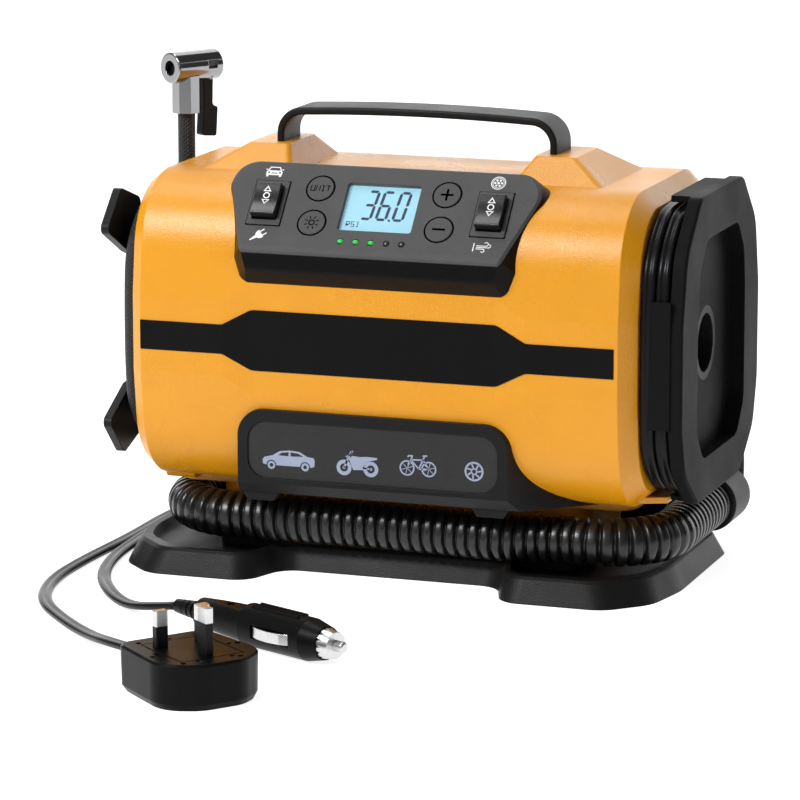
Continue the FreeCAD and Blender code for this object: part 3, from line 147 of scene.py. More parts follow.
def woven(name, colour, along, around):
    """Braided sheath: two crossing sets of ribs laid out along a tube's own length."""
    made = material(name, colour, 0.5, edge=0)
    tree = made.node_tree
    shader = tree.nodes["Principled BSDF"]
    place = node_of(tree, "ShaderNodeUVMap", uv_map="tube")
    heights = []
    for way in (1, -1):
        turn = node_of(tree, "ShaderNodeVectorMath", operation="DOT_PRODUCT")
        turn.inputs[1].default_value = (around, way * along, 0)
        tree.links.new(place.outputs["UV"], turn.inputs[0])
        wave = node_of(tree, "ShaderNodeMath", operation="SINE")
        tree.links.new(turn.outputs["Value"], wave.inputs[0])
        heights.append(wave.outputs["Value"])
    over = node_of(tree, "ShaderNodeMath", operation="MAXIMUM")
    tree.links.new(heights[0], over.inputs[0])
    tree.links.new(heights[1], over.inputs[1])
    bump = node_of(tree, "ShaderNodeBump", Strength=0.9, Distance=0.0004)
    tree.links.new(over.outputs["Value"], bump.inputs["Height"])
    tree.links.new(bump.outputs["Normal"], shader.inputs["Normal"])
    return made


def glowing(name, colour, strength, rough=0.35):
    made = material(name, colour, rough, edge=0, vary=0.03)
    shader = made.node_tree.nodes["Principled BSDF"]
    shader.inputs["Emission Color"].default_value = (*colour, 1)
    shader.inputs["Emission Strength"].default_value = strength
    return made


def clear(name):
    """Clear window plastic, thin enough to show what lies behind it."""
    made = material(name, (0.75, 0.88, 0.97), 0.08, edge=0, rough_span=0.03,
                    specular=0.15)
    shader = made.node_tree.nodes["Principled BSDF"]
    shader.inputs["Alpha"].default_value = 0.04
    return made


def face_with_shaded_sides(name, face, side, edge_depth):
    """Panel housing: grained grey on its face; its sides and underside smoother, and painted near black
    as painted shade where they face down and away from the light.
    """
    made = material(name, face, 0.42, grain=0.6, grain_scale=1500, edge=0.0008, specular=0.12)
    tree = made.node_tree
    shader = tree.nodes["Principled BSDF"]
    place = node_of(tree, "ShaderNodeTexCoord")
    depth = node_of(tree, "ShaderNodeVectorMath", operation="DOT_PRODUCT")
    depth.inputs[1].default_value = PANEL_OUT
    tree.links.new(place.outputs["Object"], depth.inputs[0])
    # depth below the face marks the sides and underside, whose near-black colour is painted shade
    shade_mask = node_of(tree, "ShaderNodeMapRange")
    level = PANEL_CENTRE.dot(PANEL_OUT) - edge_depth
    shade_mask.inputs["From Min"].default_value = level - 0.0002
    shade_mask.inputs["From Max"].default_value = level + 0.0002
    tree.links.new(depth.outputs["Value"], shade_mask.inputs["Value"])
    mix = node_of(tree, "ShaderNodeMix", data_type="RGBA")
    mix.inputs["A"].default_value = (*side, 1)
    tree.links.new(shade_mask.outputs["Result"], mix.inputs["Factor"])
    tree.links.new(shader.inputs["Base Color"].links[0].from_socket, mix.inputs["B"])
    tree.links.new(mix.outputs["Result"], shader.inputs["Base Color"])
    gloss = node_of(tree, "ShaderNodeMapRange")
    gloss.inputs["To Min"].default_value = 0.2
    gloss.inputs["To Max"].default_value = 0.42
    tree.links.new(shade_mask.outputs["Result"], gloss.inputs["Value"])
    tree.links.new(gloss.outputs["Result"], shader.inputs["Roughness"])
    return made


YELLOW = material("yellow_shell", (0.69, 0.283, 0.002), 0.30, grain=0.35, grain_scale=1700,
                  edge=0.0009, vary=0.02, specular=0.5)
BLACK = material("black_shell", (0.007, 0.007, 0.0072), 0.40, grain=0.35, grain_scale=1800, edge=0.0008,
                 specular=0.17)
PANEL_GREY = material("panel_grey", (0.074, 0.074, 0.076), 0.42, grain=0.6, grain_scale=1500,
                      edge=0.0006, specular=0.12)
# the near-black colour given to the sides and underside is painted shade
PANEL_WITH_PAINTED_SHADE = face_with_shaded_sides("panel_housing", (0.074, 0.074, 0.076), (0.001, 0.001, 0.001), 0.0014)
INSERT_GREY = material("badge_grey", (0.022, 0.022, 0.023), 0.45, grain=0.5, grain_scale=1500,
                       edge=0.0004, specular=0.25)
GLOSS = material("gloss_black", (0.005, 0.005, 0.0055), 0.26, grain=0.08, edge=0.0006, specular=0.45)
PLUG_BLACK = material("plug_black", (0.003, 0.003, 0.0032), 0.34, grain=0.2, edge=0.0008, specular=0.08)
DUCT_GLOSS = material("duct_gloss", (0.005, 0.005, 0.005), 0.30, grain=0.12, edge=0, rough_span=0.08,
                      specular=0.5)
REEL_BLACK = material("reel_black", (0.007, 0.007, 0.007), 0.50, grain=0.35, grain_scale=1800,
                      edge=0.0008, specular=0.04)
STRIPE = material("stripe", (0.004, 0.004, 0.004), 0.40, grain=0.06, edge=0.0003, specular=0.08)
CHROME = material("chrome", (0.36, 0.36, 0.37), 0.10, edge=0.0004, vary=0.02, rough_span=0.05, metal=1)
NICKEL = material("nickel", (0.62, 0.62, 0.62), 0.28, edge=0.0003, vary=0.04, metal=1)
STEEL = material("steel", (0.50, 0.50, 0.51), 0.36, edge=0.0003, metal=1)
CAST = material("aluminium", (0.66, 0.66, 0.67), 0.45, grain=0.3, edge=0.0005, metal=1)
RUBBER = material("rubber", (0.012, 0.012, 0.012), 0.65, grain=0.3, edge=0.0005, specular=0.2)
LEAD = material("lead_sheath", (0.004, 0.004, 0.005), 0.27, grain=0.05, edge=0, specular=0.15)
HOSE = woven("hose_braid", (0.012, 0.012, 0.013), 3000, 12)
WHITE = material("white_print", (0.80, 0.80, 0.80), 0.5, edge=0)
BADGE_INK = material("badge_print", (0.29, 0.33, 0.44), 0.45, edge=0, specular=0.2)
DARK_INK = material("dark_print", (0.001, 0.001, 0.001), 0.8, edge=0, specular=0.0)
NAVY = material("digit_ink", (0.001, 0.006, 0.05), 0.8, edge=0, specular=0.0)
SCREEN = glowing("lcd_face", (0.23, 0.47, 0.57), 0.36)
LIT = glowing("led_lit", (0.01, 0.30, 0.03), 0.8)
UNLIT = material("led_unlit", (0.012, 0.014, 0.012), 0.25, edge=0)
WINDOW = clear("window")
BOARD = material("board_green", (0.02, 0.16, 0.06), 0.4, edge=0.0002)
FAN_WHITE = material("fan_plastic", (0.7, 0.7, 0.68), 0.45, edge=0.0003)

FINISHES = {
    "housing_front": YELLOW, "housing_rear": YELLOW,
    "handle": BLACK, "base_plate": BLACK, "badge_housing": BLACK, "badge_insert": INSERT_GREY,
    "reel_hub": REEL_BLACK, "reel_plate": REEL_BLACK, "spool_cap": BLACK, "duct_cuff": BLACK,
    "duct_nozzle": BLACK, "chuck_lever": BLACK, "plug_sleeves": BLACK, "volute": BLACK,
    "panel_housing": PANEL_WITH_PAINTED_SHADE, "unit_button": PANEL_GREY, "light_button": PANEL_GREY,
    "plus_button": PANEL_GREY, "minus_button": PANEL_GREY, "switch_frames": PANEL_GREY,
    "power_rocker": GLOSS, "air_rocker": GLOSS, "plug_body": PLUG_BLACK, "lighter_body": PLUG_BLACK,
    "stripe_foil": STRIPE, "display_module": SCREEN, "control_board": BOARD, "power_supply": BOARD,
    "chuck_barrel": CHROME, "chuck_collar": CHROME,
    "plug_pins": NICKEL, "lighter_contacts": NICKEL, "lighter_tip": NICKEL, "lighter_ring": NICKEL,
    "case_screws": STEEL, "chuck_pin": STEEL, "crank_gear": STEEL, "drive_pinion": STEEL,
    "gear_plate": STEEL, "compressor_motor": STEEL, "blower_motor": STEEL,
    "piston": CAST, "cylinder": CAST, "impeller": FAN_WHITE,
    "base_pads": RUBBER, "chuck_seal": RUBBER, "pressure_tube": RUBBER,
    "plug_relief": LEAD, "lighter_relief": LEAD,
}


def finish_nodes():
    """Gives every node that is shown as modelled its material."""
    for name, made in FINISHES.items():
        thing = NODES[name]
        thing.data.materials.clear()
        thing.data.materials.append(made)


# ---- mesh helpers ----
def new_object(name, mesh, finish, smooth=True):
    thing = bpy.data.objects.new(name, mesh)
    bpy.context.scene.collection.objects.link(thing)
    mesh.materials.append(finish)
    for face in mesh.polygons:
        face.use_smooth = smooth
    return thing


def spline_points(points_mm, resolution=10):
    """Points in metres along the smooth NURBS curve that has the given control points."""
    curve = bpy.data.curves.new("route", "CURVE")
    curve.dimensions = "3D"
    curve.resolution_u = resolution
    spline = curve.splines.new("NURBS")
    spline.points.add(len(points_mm) - 1)
    for point, place in zip(spline.points, points_mm):
        point.co = (*[c * MM for c in place], 1)
    spline.order_u = 3
    spline.use_endpoint_u = True
    carrier = bpy.data.objects.new("route", curve)
    mesh = bpy.data.meshes.new_from_object(carrier)
    points = [v.co.copy() for v in mesh.vertices]
    bpy.data.objects.remove(carrier)
    bpy.data.curves.remove(curve)
    bpy.data.meshes.remove(mesh)
    return points


def length_of(points):
    return sum((b - a).length for a, b in zip(points, points[1:]))


def resampled(points, step):
    """The same line with points evenly spaced, about step apart."""
    total = length_of(points)
    count = max(2, round(total / step))
    gap = total / count
    out, at, walked = [points[0].copy()], 0, 0.0
    for i in range(1, count):
        target = i * gap
        while walked + (points[at + 1] - points[at]).length < target:
            walked += (points[at + 1] - points[at]).length
            at += 1
        along = points[at + 1] - points[at]
        out.append(points[at] + along * ((target - walked) / along.length))
    out.append(points[-1].copy())
    return out


def tangents(points):
    ahead = points[1:] + [points[-1] * 2 - points[-2]]
    behind = [points[0] * 2 - points[1]] + points[:-1]
    return [(a - b).normalized() for a, b in zip(ahead, behind)]


def swept(name, points, sides, section, finish, grow=None):
    """Closed mesh of a section carried along a line; sides gives each section's first axis."""
    ways = tangents(points)
    count = len(section)
    vertices, faces = [], []
    distance, along = 0.0, []
    for i, (point, way, side) in enumerate(zip(points, ways, sides)):
        if i:
            distance += (point - points[i - 1]).length
        along.append(distance)
        across = (side - way * side.dot(way)).normalized()
        over = way.cross(across)
        scale = grow(distance) if grow else 1.0
        for u, v in section:
            vertices.append(point + across * (u * scale) + over * (v * scale))
    for i in range(len(points) - 1):
        for j in range(count):
            k = (j + 1) % count
            faces.append((i * count + j, i * count + k, (i + 1) * count + k, (i + 1) * count + j))
    faces.append(tuple(reversed(range(count))))
    faces.append(tuple(range((len(points) - 1) * count, len(points) * count)))
    mesh = bpy.data.meshes.new(name)
    mesh.from_pydata(vertices, [], faces)
    layer = mesh.uv_layers.new(name="tube")
    for face in mesh.polygons:
        first = face.vertices[0] % count
        for corner in face.loop_indices:
            vertex = mesh.loops[corner].vertex_index
            turn = vertex % count
            if first == count - 1 and turn == 0:
                turn = count
            layer.data[corner].uv = (turn / count * math.tau, along[vertex // count])
    bm = bmesh.new()
    bm.from_mesh(mesh)
    bmesh.ops.recalc_face_normals(bm, faces=bm.faces)
    bm.to_mesh(mesh)
    bm.free()
    return new_object(name, mesh, finish)


def circle(radius, count=20):
    return [(radius * math.cos(math.tau * i / count), radius * math.sin(math.tau * i / count))
            for i in range(count)]


def twin_section():
    """Flat twin lead: two round cores side by side with a groove between them."""
    core, apart = LEAD_THICK / 2 * MM, (LEAD_WIDE - LEAD_THICK) / 2 * MM
    web = 0.7 * MM
    meet = math.degrees(math.asin(web / core))
    lobe = arc(apart / MM, 0, core / MM, meet - 180, 180 - meet, 13)
    right = [(u * MM, v * MM) for u, v in lobe if u * MM > 0.25 * MM]
    return right + [(-u, -v) for u, v in right]


# ---- wound turns ----
def racetrack(offset, half_y, half_z, radius):
    """Corners of one turn round a drum, from its lowest middle forwards and up, over, down."""
    reach_y, reach_z, bend = half_y + offset, half_z + offset, radius + offset
    flat_y, flat_z = reach_y - bend, reach_z - bend
    points = [(-flat_y * 0.45, -reach_z)]
    for centre_y, centre_z, start in ((-flat_y, -flat_z, 270), (-flat_y, flat_z, 180),
                                      (flat_y, flat_z, 90), (flat_y, -flat_z, 0)):
        edge = bend / math.cos(math.radians(11.25))
        for step in range(4):
            a = math.radians(start - 11.25 - 22.5 * step)
            points.append((centre_y + edge * math.cos(a), centre_z + edge * math.sin(a)))
        if start == 180:
            points.append((0, reach_z))
    points.append((flat_y * 0.45, -reach_z))
    return points


def wound(slots, half_y, half_z, radius, last_share, wobble=0.5, seed=0):
    """Control points of turns wound in the given (x, offset) slots, crossing over at the bottom."""
    points = []
    for turn, (x, offset) in enumerate(slots):
        ring = racetrack(offset, half_y, half_z, radius)
        if turn == len(slots) - 1:
            ring = ring[:round(len(ring) * last_share)]
        for i, (y, z) in enumerate(ring):
            stray = noise(Vector((i * 0.35, turn * 3.1, seed))) * wobble
            points.append((x + stray, y, BODY_Z / MM + z))
    return points


def lead_sides(points):
    """Wide axis of a flat lead: along X on the reel, level across the lead on the ground."""
    sides = []
    for point, way in zip(points, tangents(points)):
        low = min(1.0, max(0.0, (62 * MM - point.z) / (56 * MM)))
        on_reel = 1 - low if point.x > 100 * MM or low == 0 else 0.0
        level = way.cross(Vector((0, 0, 1)))
        if level.length < 0.2:
            level = Vector((1, 0, 0))
        sides.append((Vector((1, 0, 0)) * on_reel + level.normalized() * (1 - on_reel)).normalized())
    return sides


LAST_TURN = 0.72                           # share of the last turn before the lead leaves the reel


def flat_lead(name, slots, route, nodes, seed):
    """One flat lead, its turns on the reel and its run to the plug in a single smooth line."""
    control = wound(slots, HUB_Y, HUB_Z, HUB_R, LAST_TURN, seed=seed) + route
    points = resampled(spline_points(control), STEP)
    lead = swept(name, points, lead_sides(points), twin_section(), LEAD)
    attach(lead, "pump")
    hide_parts(*nodes)
    return lead


def leads():
    layer = [LEAD_THICK * (i + 0.5) for i in range(4)]
    dc_slots = [(LANE_A, layer[0]), (LANE_B, layer[0]), (LANE_B, layer[1]), (LANE_A, layer[1]),
                (LANE_A, layer[2]), (LANE_A, layer[3])]
    mains_slots = [(LANE_B, layer[2]), (LANE_B, layer[3])]
    flat_lead("lead_12v", dc_slots, DC_ROUTE, ("dc_coil", "dc_lead"), 1)
    flat_lead("lead_mains", mains_slots, MAINS_ROUTE, ("mains_coil", "mains_lead"), 2)


def air_hose():
    """Braided hose: two turns on the spool, then up between drum and horn to the chuck."""
    turns = []
    for offset in (HOSE_R + 0.3, 3 * HOSE_R + 0.8):
        ring = racetrack(offset, SPOOL_HALF, SPOOL_HALF, SPOOL_R)
        turns += [(HOSE_X, -y, BODY_Z / MM + z) for y, z in ring]
    turns = turns[:-1]
    # the last turn comes down the front and runs back under the drum
    control = turns + [(HOSE_X, -34, 62)] + RISER_ROUTE
    points = resampled(spline_points(control), STEP)
    side = Vector((1, 0.05, 0.02))
    sides = [side] * len(points)
    hose = swept("air_hose", points, sides, circle(HOSE_R * MM), HOSE)
    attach(hose, "pump")
    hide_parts("air_hose_coil", "air_hose_riser")


DUCT_R, RIB_PITCH, RIB_DEPTH = 12.3, 6.1, 2.6
GROOVE_HALF, CROWN = 0.95, 0.35            # a groove's half width, and how far a rib's top is domed
DUCT_BEND = 36.0


def duct_route():
    """Control points in mm of the duct's loop round the neck, each corner a wide arc."""
    left, right, half, z, bend = -121.0, 140.0, 51.0, 27.2, DUCT_BEND
    reach = bend * math.tan(math.radians(22.5))
    route = [(right, 52, z), (right, 20, z)]
    corners = [((right, -half), (0, -1), (-1, 0)), ((left, -half), (-1, 0), (0, 1)),
               ((left, half), (0, 1), (1, 0))]
    for (x, y), into, out in corners:
        start = (x - into[0] * bend, y - into[1] * bend)
        stop = (x + out[0] * bend, y + out[1] * bend)
        for sign in (-1, 1):
            route.append((start[0] + sign * reach * into[0], start[1] + sign * reach * into[1], z))
        for sign in (-1, 1):
            route.append((stop[0] + sign * reach * out[0], stop[1] + sign * reach * out[1], z))
        if into == (0, -1):
            route += [(60, -half - 0.6, z - 0.8), (10, -half + 0.5, z), (-40, -half - 0.4, z + 0.5)]
    return route + [(98, half, z)]


def rib_scale(distance):
    """Radius of the corrugated duct along its length: broad rounded ribs, narrow grooves."""
    phase = (distance / MM / RIB_PITCH) % 1.0
    edge = min(phase, 1 - phase) * RIB_PITCH
    groove = math.exp(-(edge / GROOVE_HALF) ** 3)
    crown = CROWN * (abs(phase - 0.5) * 2) ** 2
    return 1 - (RIB_DEPTH * groove + crown) / DUCT_R


def duct():
    points = resampled(spline_points(duct_route(), 24), RIB_PITCH / 12 * MM)
    sides = [Vector((0, 0, 1))] * len(points)
    hose = swept("corrugated_duct", points, sides, circle(DUCT_R * MM, 40), DUCT_GLOSS, rib_scale)
    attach(hose, "pump")
    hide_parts("inflation_duct")


# ---- printed and engraved marks ----
def on_panel(s, t, depth):
    """Point in metres from mm along the panel, up its face and out of it."""
    return PANEL_CENTRE + Vector((s, 0, 0)) * MM + PANEL_UP * (t * MM) + PANEL_OUT * (depth * MM)


def on_insert(x, z, depth):
    return Vector((x * MM, INSERT_FRONT - depth * MM, z * MM))


def area(loop):
    return sum(a[0] * b[1] - b[0] * a[1] for a, b in zip(loop, loop[1:] + loop[:1])) / 2


def inlay(bm, loops, place, low, high):
    """Adds one closed plate with the outline loops[0] and holes loops[1:]."""
    loops = [list(reversed(l)) if (area(l) < 0) == (i == 0) else list(l) for i, l in enumerate(loops)]
    flat = [[Vector((u, v, 0)) for u, v in loop] for loop in loops]
    joined = [p for loop in loops for p in loop]
    top = [bm.verts.new(place(u, v, high(u, v) if callable(high) else high)) for u, v in joined]
    bottom = [bm.verts.new(place(u, v, low(u, v) if callable(low) else low)) for u, v in joined]
    for a, b, c in tessellate_polygon(flat):
        bm.faces.new((top[a], top[b], top[c]))
        bm.faces.new((bottom[c], bottom[b], bottom[a]))
    base = 0
    for loop in loops:
        for i in range(len(loop)):
            a, b = base + i, base + (i + 1) % len(loop)
            bm.faces.new((top[a], bottom[a], bottom[b], top[b]))
        base += len(loop)


def band(points, width, closed=False):
    """Outline loops of a line of the given width, mitred at its corners."""
    left, right = [], []
    count = len(points)
    for i, point in enumerate(points):
        here = Vector(point)
        before = Vector(points[i - 1]) if (i or closed) else None
        after = Vector(points[(i + 1) % count]) if (i < count - 1 or closed) else None
        into = (here - before).normalized() if before is not None else None
        out = (after - here).normalized() if after is not None else None
        into = into or out
        out = out or into
        normal = Vector((-into.y - out.y, into.x + out.x))
        if normal.length < 1e-6:
            normal = Vector((-into.y, into.x))
        normal.normalize()
        stretch = min(1.6, 1 / max(0.3, normal.dot(Vector((-into.y, into.x)))))
        left.append(tuple(here + normal * (width / 2 * stretch)))
        right.append(tuple(here - normal * (width / 2 * stretch)))
    if closed:
        outer, inner = (left, right) if abs(area(left)) > abs(area(right)) else (right, left)
        return [outer, inner]
    return [left + list(reversed(right))]


def arc(u, v, radius, start, stop, count=14):
    return [(u + radius * math.cos(math.radians(start + (stop - start) * i / count)),
             v + radius * math.sin(math.radians(start + (stop - start) * i / count)))
            for i in range(count + 1)]


def disc(u, v, radius, count=20):
    return arc(u, v, radius, 0, 360, count)[:-1]


def hoop(u, v, radius, width, count=32):
    return [disc(u, v, radius + width / 2, count), disc(u, v, radius - width / 2, count)]


def moved(shapes, u, v, scale=1.0, turn=0.0):
    """Shapes (lists of loops) scaled, turned by degrees and put at a place."""
    c, s = math.cos(math.radians(turn)) * scale, math.sin(math.radians(turn)) * scale
    return [[[(u + c * a - s * b, v + s * a + c * b) for a, b in loop] for loop in loops]
            for loops in shapes]


def car_front():
    body = [(-4.5, -1.9), (-4.5, 0.2), (-3.7, 1.0), (3.7, 1.0), (4.5, 0.2), (4.5, -1.9)]
    holes = [disc(-3.1, -0.3, 0.62, 10), disc(3.1, -0.3, 0.62, 10),
             [(-1.7, -0.9), (1.7, -0.9), (1.7, -0.3), (-1.7, -0.3)]]
    roof = band([(-3.6, 1.0), (-2.6, 3.0), (2.6, 3.0), (3.6, 1.0)], 0.6)
    wheels = [[[(x - 0.6, -2.9), (x + 0.6, -2.9), (x + 0.6, -1.8), (x - 0.6, -1.8)]]
              for x in (-3.6, 3.6)]
    mirrors = [[[(x - 0.55, 1.3), (x + 0.55, 1.3), (x + 0.4, 1.9), (x - 0.4, 1.9)]]
               for x in (-4.5, 4.5)]
    return [[body] + holes, roof] + wheels + mirrors


def mains_plug():
    """Two-pin plug with its lead, pointing along +u."""
    body = [(1.6, -2.2), (1.6, 2.2)] + arc(0.9, 0, 2.2, 90, 270, 12)
    pins = [band([(1.6, v), (3.8, v)], 0.6) for v in (-1.2, 1.2)]
    tail = [[(-1.1, 0.8), (-4.6, 0.25), (-4.6, -0.25), (-1.1, -0.8)]]
    return [[body]] + pins + [tail]


def tyre():
    dots = [[disc(0, 0, 0.75, 12)]]
    for i in range(6):
        a = math.tau * i / 6
        dots.append([disc(1.75 * math.cos(a), 1.75 * math.sin(a), 0.62, 12)])
    return [hoop(0, 0, 3.6, 0.45), hoop(0, 0, 2.85, 0.3)] + dots


def breeze():
    upper = [(-3.0, 0.9), (1.9, 0.9)] + arc(1.9, 1.95, 1.05, -90, 150, 12)
    middle = [(-3.0, 0.0), (3.4, 0.0)] + arc(3.4, 0.95, 0.95, -90, 120, 10)
    lower = [(-3.0, -0.9), (0.6, -0.9)] + arc(0.6, -1.8, 0.9, 90, -150, 10)
    return [band([(-4.4, -2.4), (-4.4, 2.4)], 0.5), band(upper, 0.42), band(middle, 0.42),
            band(lower, 0.42)]


def rocker_marks():
    up = band([(-1.7, 2.5), (0, 4.9), (1.7, 2.5)], 0.6, closed=True)
    down = band([(-1.7, -2.5), (0, -4.9), (1.7, -2.5)], 0.6, closed=True)
    return [up, hoop(0, 0, 1.5, 0.6, 24), down]


SEGMENTS = {"a": ((0, 2), (1, 2)), "b": ((1, 2), (1, 1)), "c": ((1, 1), (1, 0)),
            "d": ((0, 0), (1, 0)), "e": ((0, 0), (0, 1)), "f": ((0, 1), (0, 2)), "g": ((0, 1), (1, 1))}
DIGITS = {"3": "abgcd", "6": "afgedc", "0": "abcdef"}


def digit(name, u, v, wide, tall, thick, slant=0.10):
    """Seven-segment digit, each bar with pointed ends, leaning slightly."""
    shapes = []
    for key in DIGITS[name]:
        (u0, v0), (u1, v1) = SEGMENTS[key]
        start = Vector((u + u0 * wide, v + v0 * tall / 2))
        stop = Vector((u + u1 * wide, v + v1 * tall / 2))
        way = (stop - start).normalized()
        start, stop = start + way * 0.22, stop - way * 0.22
        off = Vector((-way.y, way.x)) * thick / 2
        tip = way * thick / 2
        loop = [start, start + tip - off, stop - tip - off, stop, stop - tip + off, start + tip + off]
        shapes.append([[(p.x + slant * (p.y - v), p.y) for p in loop]])
    return shapes


def strokes(paths, u, v, size, width):
    """Line letters and signs given as paths in a unit cell."""
    return [band([(u + a * size, v + b * size) for a, b in path], width) for path in paths]


LETTERS = {
    "U": [[(0, 1), (0, 0), (0.6, 0), (0.6, 1)]],
    "N": [[(0, 0), (0, 1), (0.6, 0), (0.6, 1)]],
    "I": [[(0.3, 0), (0.3, 1)], [(0.12, 1), (0.48, 1)], [(0.12, 0), (0.48, 0)]],
    "T": [[(0.3, 0), (0.3, 1)], [(0, 1), (0.6, 1)]],
    "P": [[(0, 0), (0, 1), (0.6, 1), (0.6, 0.5), (0, 0.5)]],
    "S": [[(0, 0), (0.6, 0), (0.6, 0.5), (0, 0.5), (0, 1), (0.6, 1)]],
}


def word(text, u, v, size, width, pitch=0.95):
    shapes = []
    start = u - (len(text) * pitch - 0.35) * size / 2
    for i, letter in enumerate(text):
        shapes += strokes(LETTERS[letter], start + i * pitch * size, v - size / 2, size, width)
    return shapes


def sun():
    rays = []
    for i in range(8):
        a = math.tau * (i + 0.5) / 8
        rays.append(band([(2.35 * math.cos(a), 2.35 * math.sin(a)),
                          (3.9 * math.cos(a), 3.9 * math.sin(a))], 0.55))
    return [hoop(0, 0, 1.4, 0.6)] + rays


def saloon():
    """Side view of a car, 28 mm long in the badge's scale, with cut-out windows and wheel hubs."""
    body = [(-13.9, -2.6), (-14.1, -0.4), (-13.0, 0.9), (-8.6, 2.0), (-4.9, 4.3), (0.5, 5.0),
            (5.8, 4.6), (10.2, 2.3), (13.4, 1.9), (14.1, 0.6), (13.9, -2.6), (12.0, -3.2)]
    wheel_u = (-9.3, 8.9)
    body += arc(wheel_u[1], -3.1, 2.7, 0, 180, 10) + arc(wheel_u[0], -3.1, 2.7, 0, 180, 10)
    front = [(-5.6, 2.1), (-3.9, 3.5), (0.0, 4.1), (0.0, 2.0)]
    rear = [(1.0, 2.0), (1.0, 4.1), (5.2, 3.7), (7.9, 2.2)]
    wheels = [[disc(u, -3.1, 2.1), disc(u, -3.1, 1.0)] for u in wheel_u]
    return [[body, front, rear]] + wheels


def motorbike():
    wheels = [[disc(u, -2.0, 3.6, 26), disc(u, -2.0, 1.9, 18)] for u in (-6.6, 6.2)]
    hubs = [[disc(u, -2.0, 0.7, 10)] for u in (-6.6, 6.2)]
    tank = [(-4.4, 2.2), (-2.6, 3.6), (0.8, 3.3), (4.2, 3.6), (9.4, 3.4), (9.0, 2.5), (5.6, 1.7),
            (3.4, 0.4), (2.6, -2.6), (-2.2, -2.9), (-3.2, -0.4)]
    fork = band([(-6.6, -2.0), (-4.2, 3.2), (-3.0, 5.6)], 0.9)
    bars = band([(-5.8, 3.0), (-3.6, 3.9), (-2.4, 5.9)], 0.6)
    tail = band([(2.4, -1.6), (6.2, -2.0)], 0.7)
    return wheels + hubs + [[tank], fork, bars, tail]


def bicycle():
    shapes = []
    for u in (-5.6, 5.6):
        shapes.append(hoop(u, -2.0, 3.5, 0.75))
        for i in range(6):
            a = math.tau * i / 6 + 0.3
            shapes.append(band([(u + 0.3 * math.cos(a), -2 + 0.3 * math.sin(a)),
                                (u + 3.2 * math.cos(a), -2 + 3.2 * math.sin(a))], 0.32))
    frame_lines = [[(-5.6, -2.0), (-3.2, 3.2)], [(-3.6, 2.2), (3.0, 2.4)],
                   [(-3.4, 1.9), (0.4, -2.2)], [(0.4, -2.2), (3.4, 4.2)],
                   [(0.4, -2.2), (5.6, -2.0)], [(5.6, -2.0), (2.7, 2.2)],
                   [(-3.2, 3.2), (-2.9, 4.1), (-4.6, 4.2), (-5.3, 3.5)], [(2.4, 4.4), (4.8, 4.6)]]
    return shapes + [band(line, 0.72) for line in frame_lines]


def rim():
    shapes = [hoop(0, 0, 4.5, 1.0), hoop(0, 0, 1.4, 0.7)]
    for i in range(7):
        a = math.tau * i / 7
        shapes.append(band([(1.6 * math.cos(a - 0.1), 1.6 * math.sin(a - 0.1)),
                            (4.2 * math.cos(a + 0.1), 4.2 * math.sin(a + 0.1))], 0.8))
    return shapes


def printed(name, shapes, place, finish, body="pump", low=-0.08, high=0.05):
    """One object that holds the given flat shapes as thin closed plates."""
    bm = bmesh.new()
    for loops in shapes:
        inlay(bm, loops, place, low, high)
    bmesh.ops.recalc_face_normals(bm, faces=bm.faces)
    mesh = bpy.data.meshes.new(name)
    bm.to_mesh(mesh)
    bm.free()
    thing = new_object(name, mesh, finish, smooth=False)
    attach(thing, body)
    return thing


SWITCH_S, SWITCH_T, BUTTON_S, BUTTON_T = 59.3, -0.6, 33.6, (9.6, -10.8)
KEY_TOP = 0.35                             # of a key above the panel's face
LAMP_PITCH, LAMP_T, LAMP_R = 8.1, -20.6, 1.65


def panel_prints():
    icons = moved(car_front(), -60.4, 17.9, 0.95) + moved(mains_plug(), -60.1, -19.7, 1.1, 38)
    icons += moved(tyre(), 58.6, 18.2) + moved(breeze(), 58.0, -19.7)
    printed("panel_icons", icons, on_panel, WHITE)
    lines = []
    for side in (-1, 1):
        s = side * SWITCH_S
        frame_line = [(s - 9.1, SWITCH_T - 13.2), (s + 9.1, SWITCH_T - 13.2),
                      (s + 9.1, SWITCH_T + 13.2), (s - 9.1, SWITCH_T + 13.2)]
        lines.append(band(frame_line, 0.6, closed=True))
        lines += [hoop(side * BUTTON_S, t, 7.4, 0.8, 40) for t in BUTTON_T]
    printed("panel_lines", lines, on_panel, DARK_INK)


def key_legends():
    legends = {
        "unit": ("unit_key", (-BUTTON_S, BUTTON_T[0]), word("UNIT", 0, 0, 3.2, 0.5, 0.86)),
        "light": ("light_key", (-BUTTON_S, BUTTON_T[1]), sun()),
        "plus": ("plus_key", (BUTTON_S, BUTTON_T[0]),
                 [band([(-3.4, 0), (3.4, 0)], 1.2), band([(0, -3.4), (0, 3.4)], 1.2)]),
        "minus": ("minus_key", (BUTTON_S, BUTTON_T[1]), [band([(-3.4, 0), (3.4, 0)], 1.2)]),
    }
    for name, (body, (s, t), shapes) in legends.items():
        printed(name + "_legend", moved(shapes, s, t), on_panel, DARK_INK, body,
                KEY_TOP - 0.08, KEY_TOP + 0.04)


def surface_depth(name):
    """Function giving a node's outer surface above the panel face at a place on it."""
    thing = NODES[name]
    corners = [thing.matrix_world @ v.co for v in thing.data.vertices]
    tree = BVHTree.FromPolygons(corners, [tuple(p.vertices) for p in thing.data.polygons])

    def depth(s, t):
        start = on_panel(s, t, 30)
        hit = tree.ray_cast(start, -PANEL_OUT)[0]
        return 30 - (start - hit).length / MM
    return depth


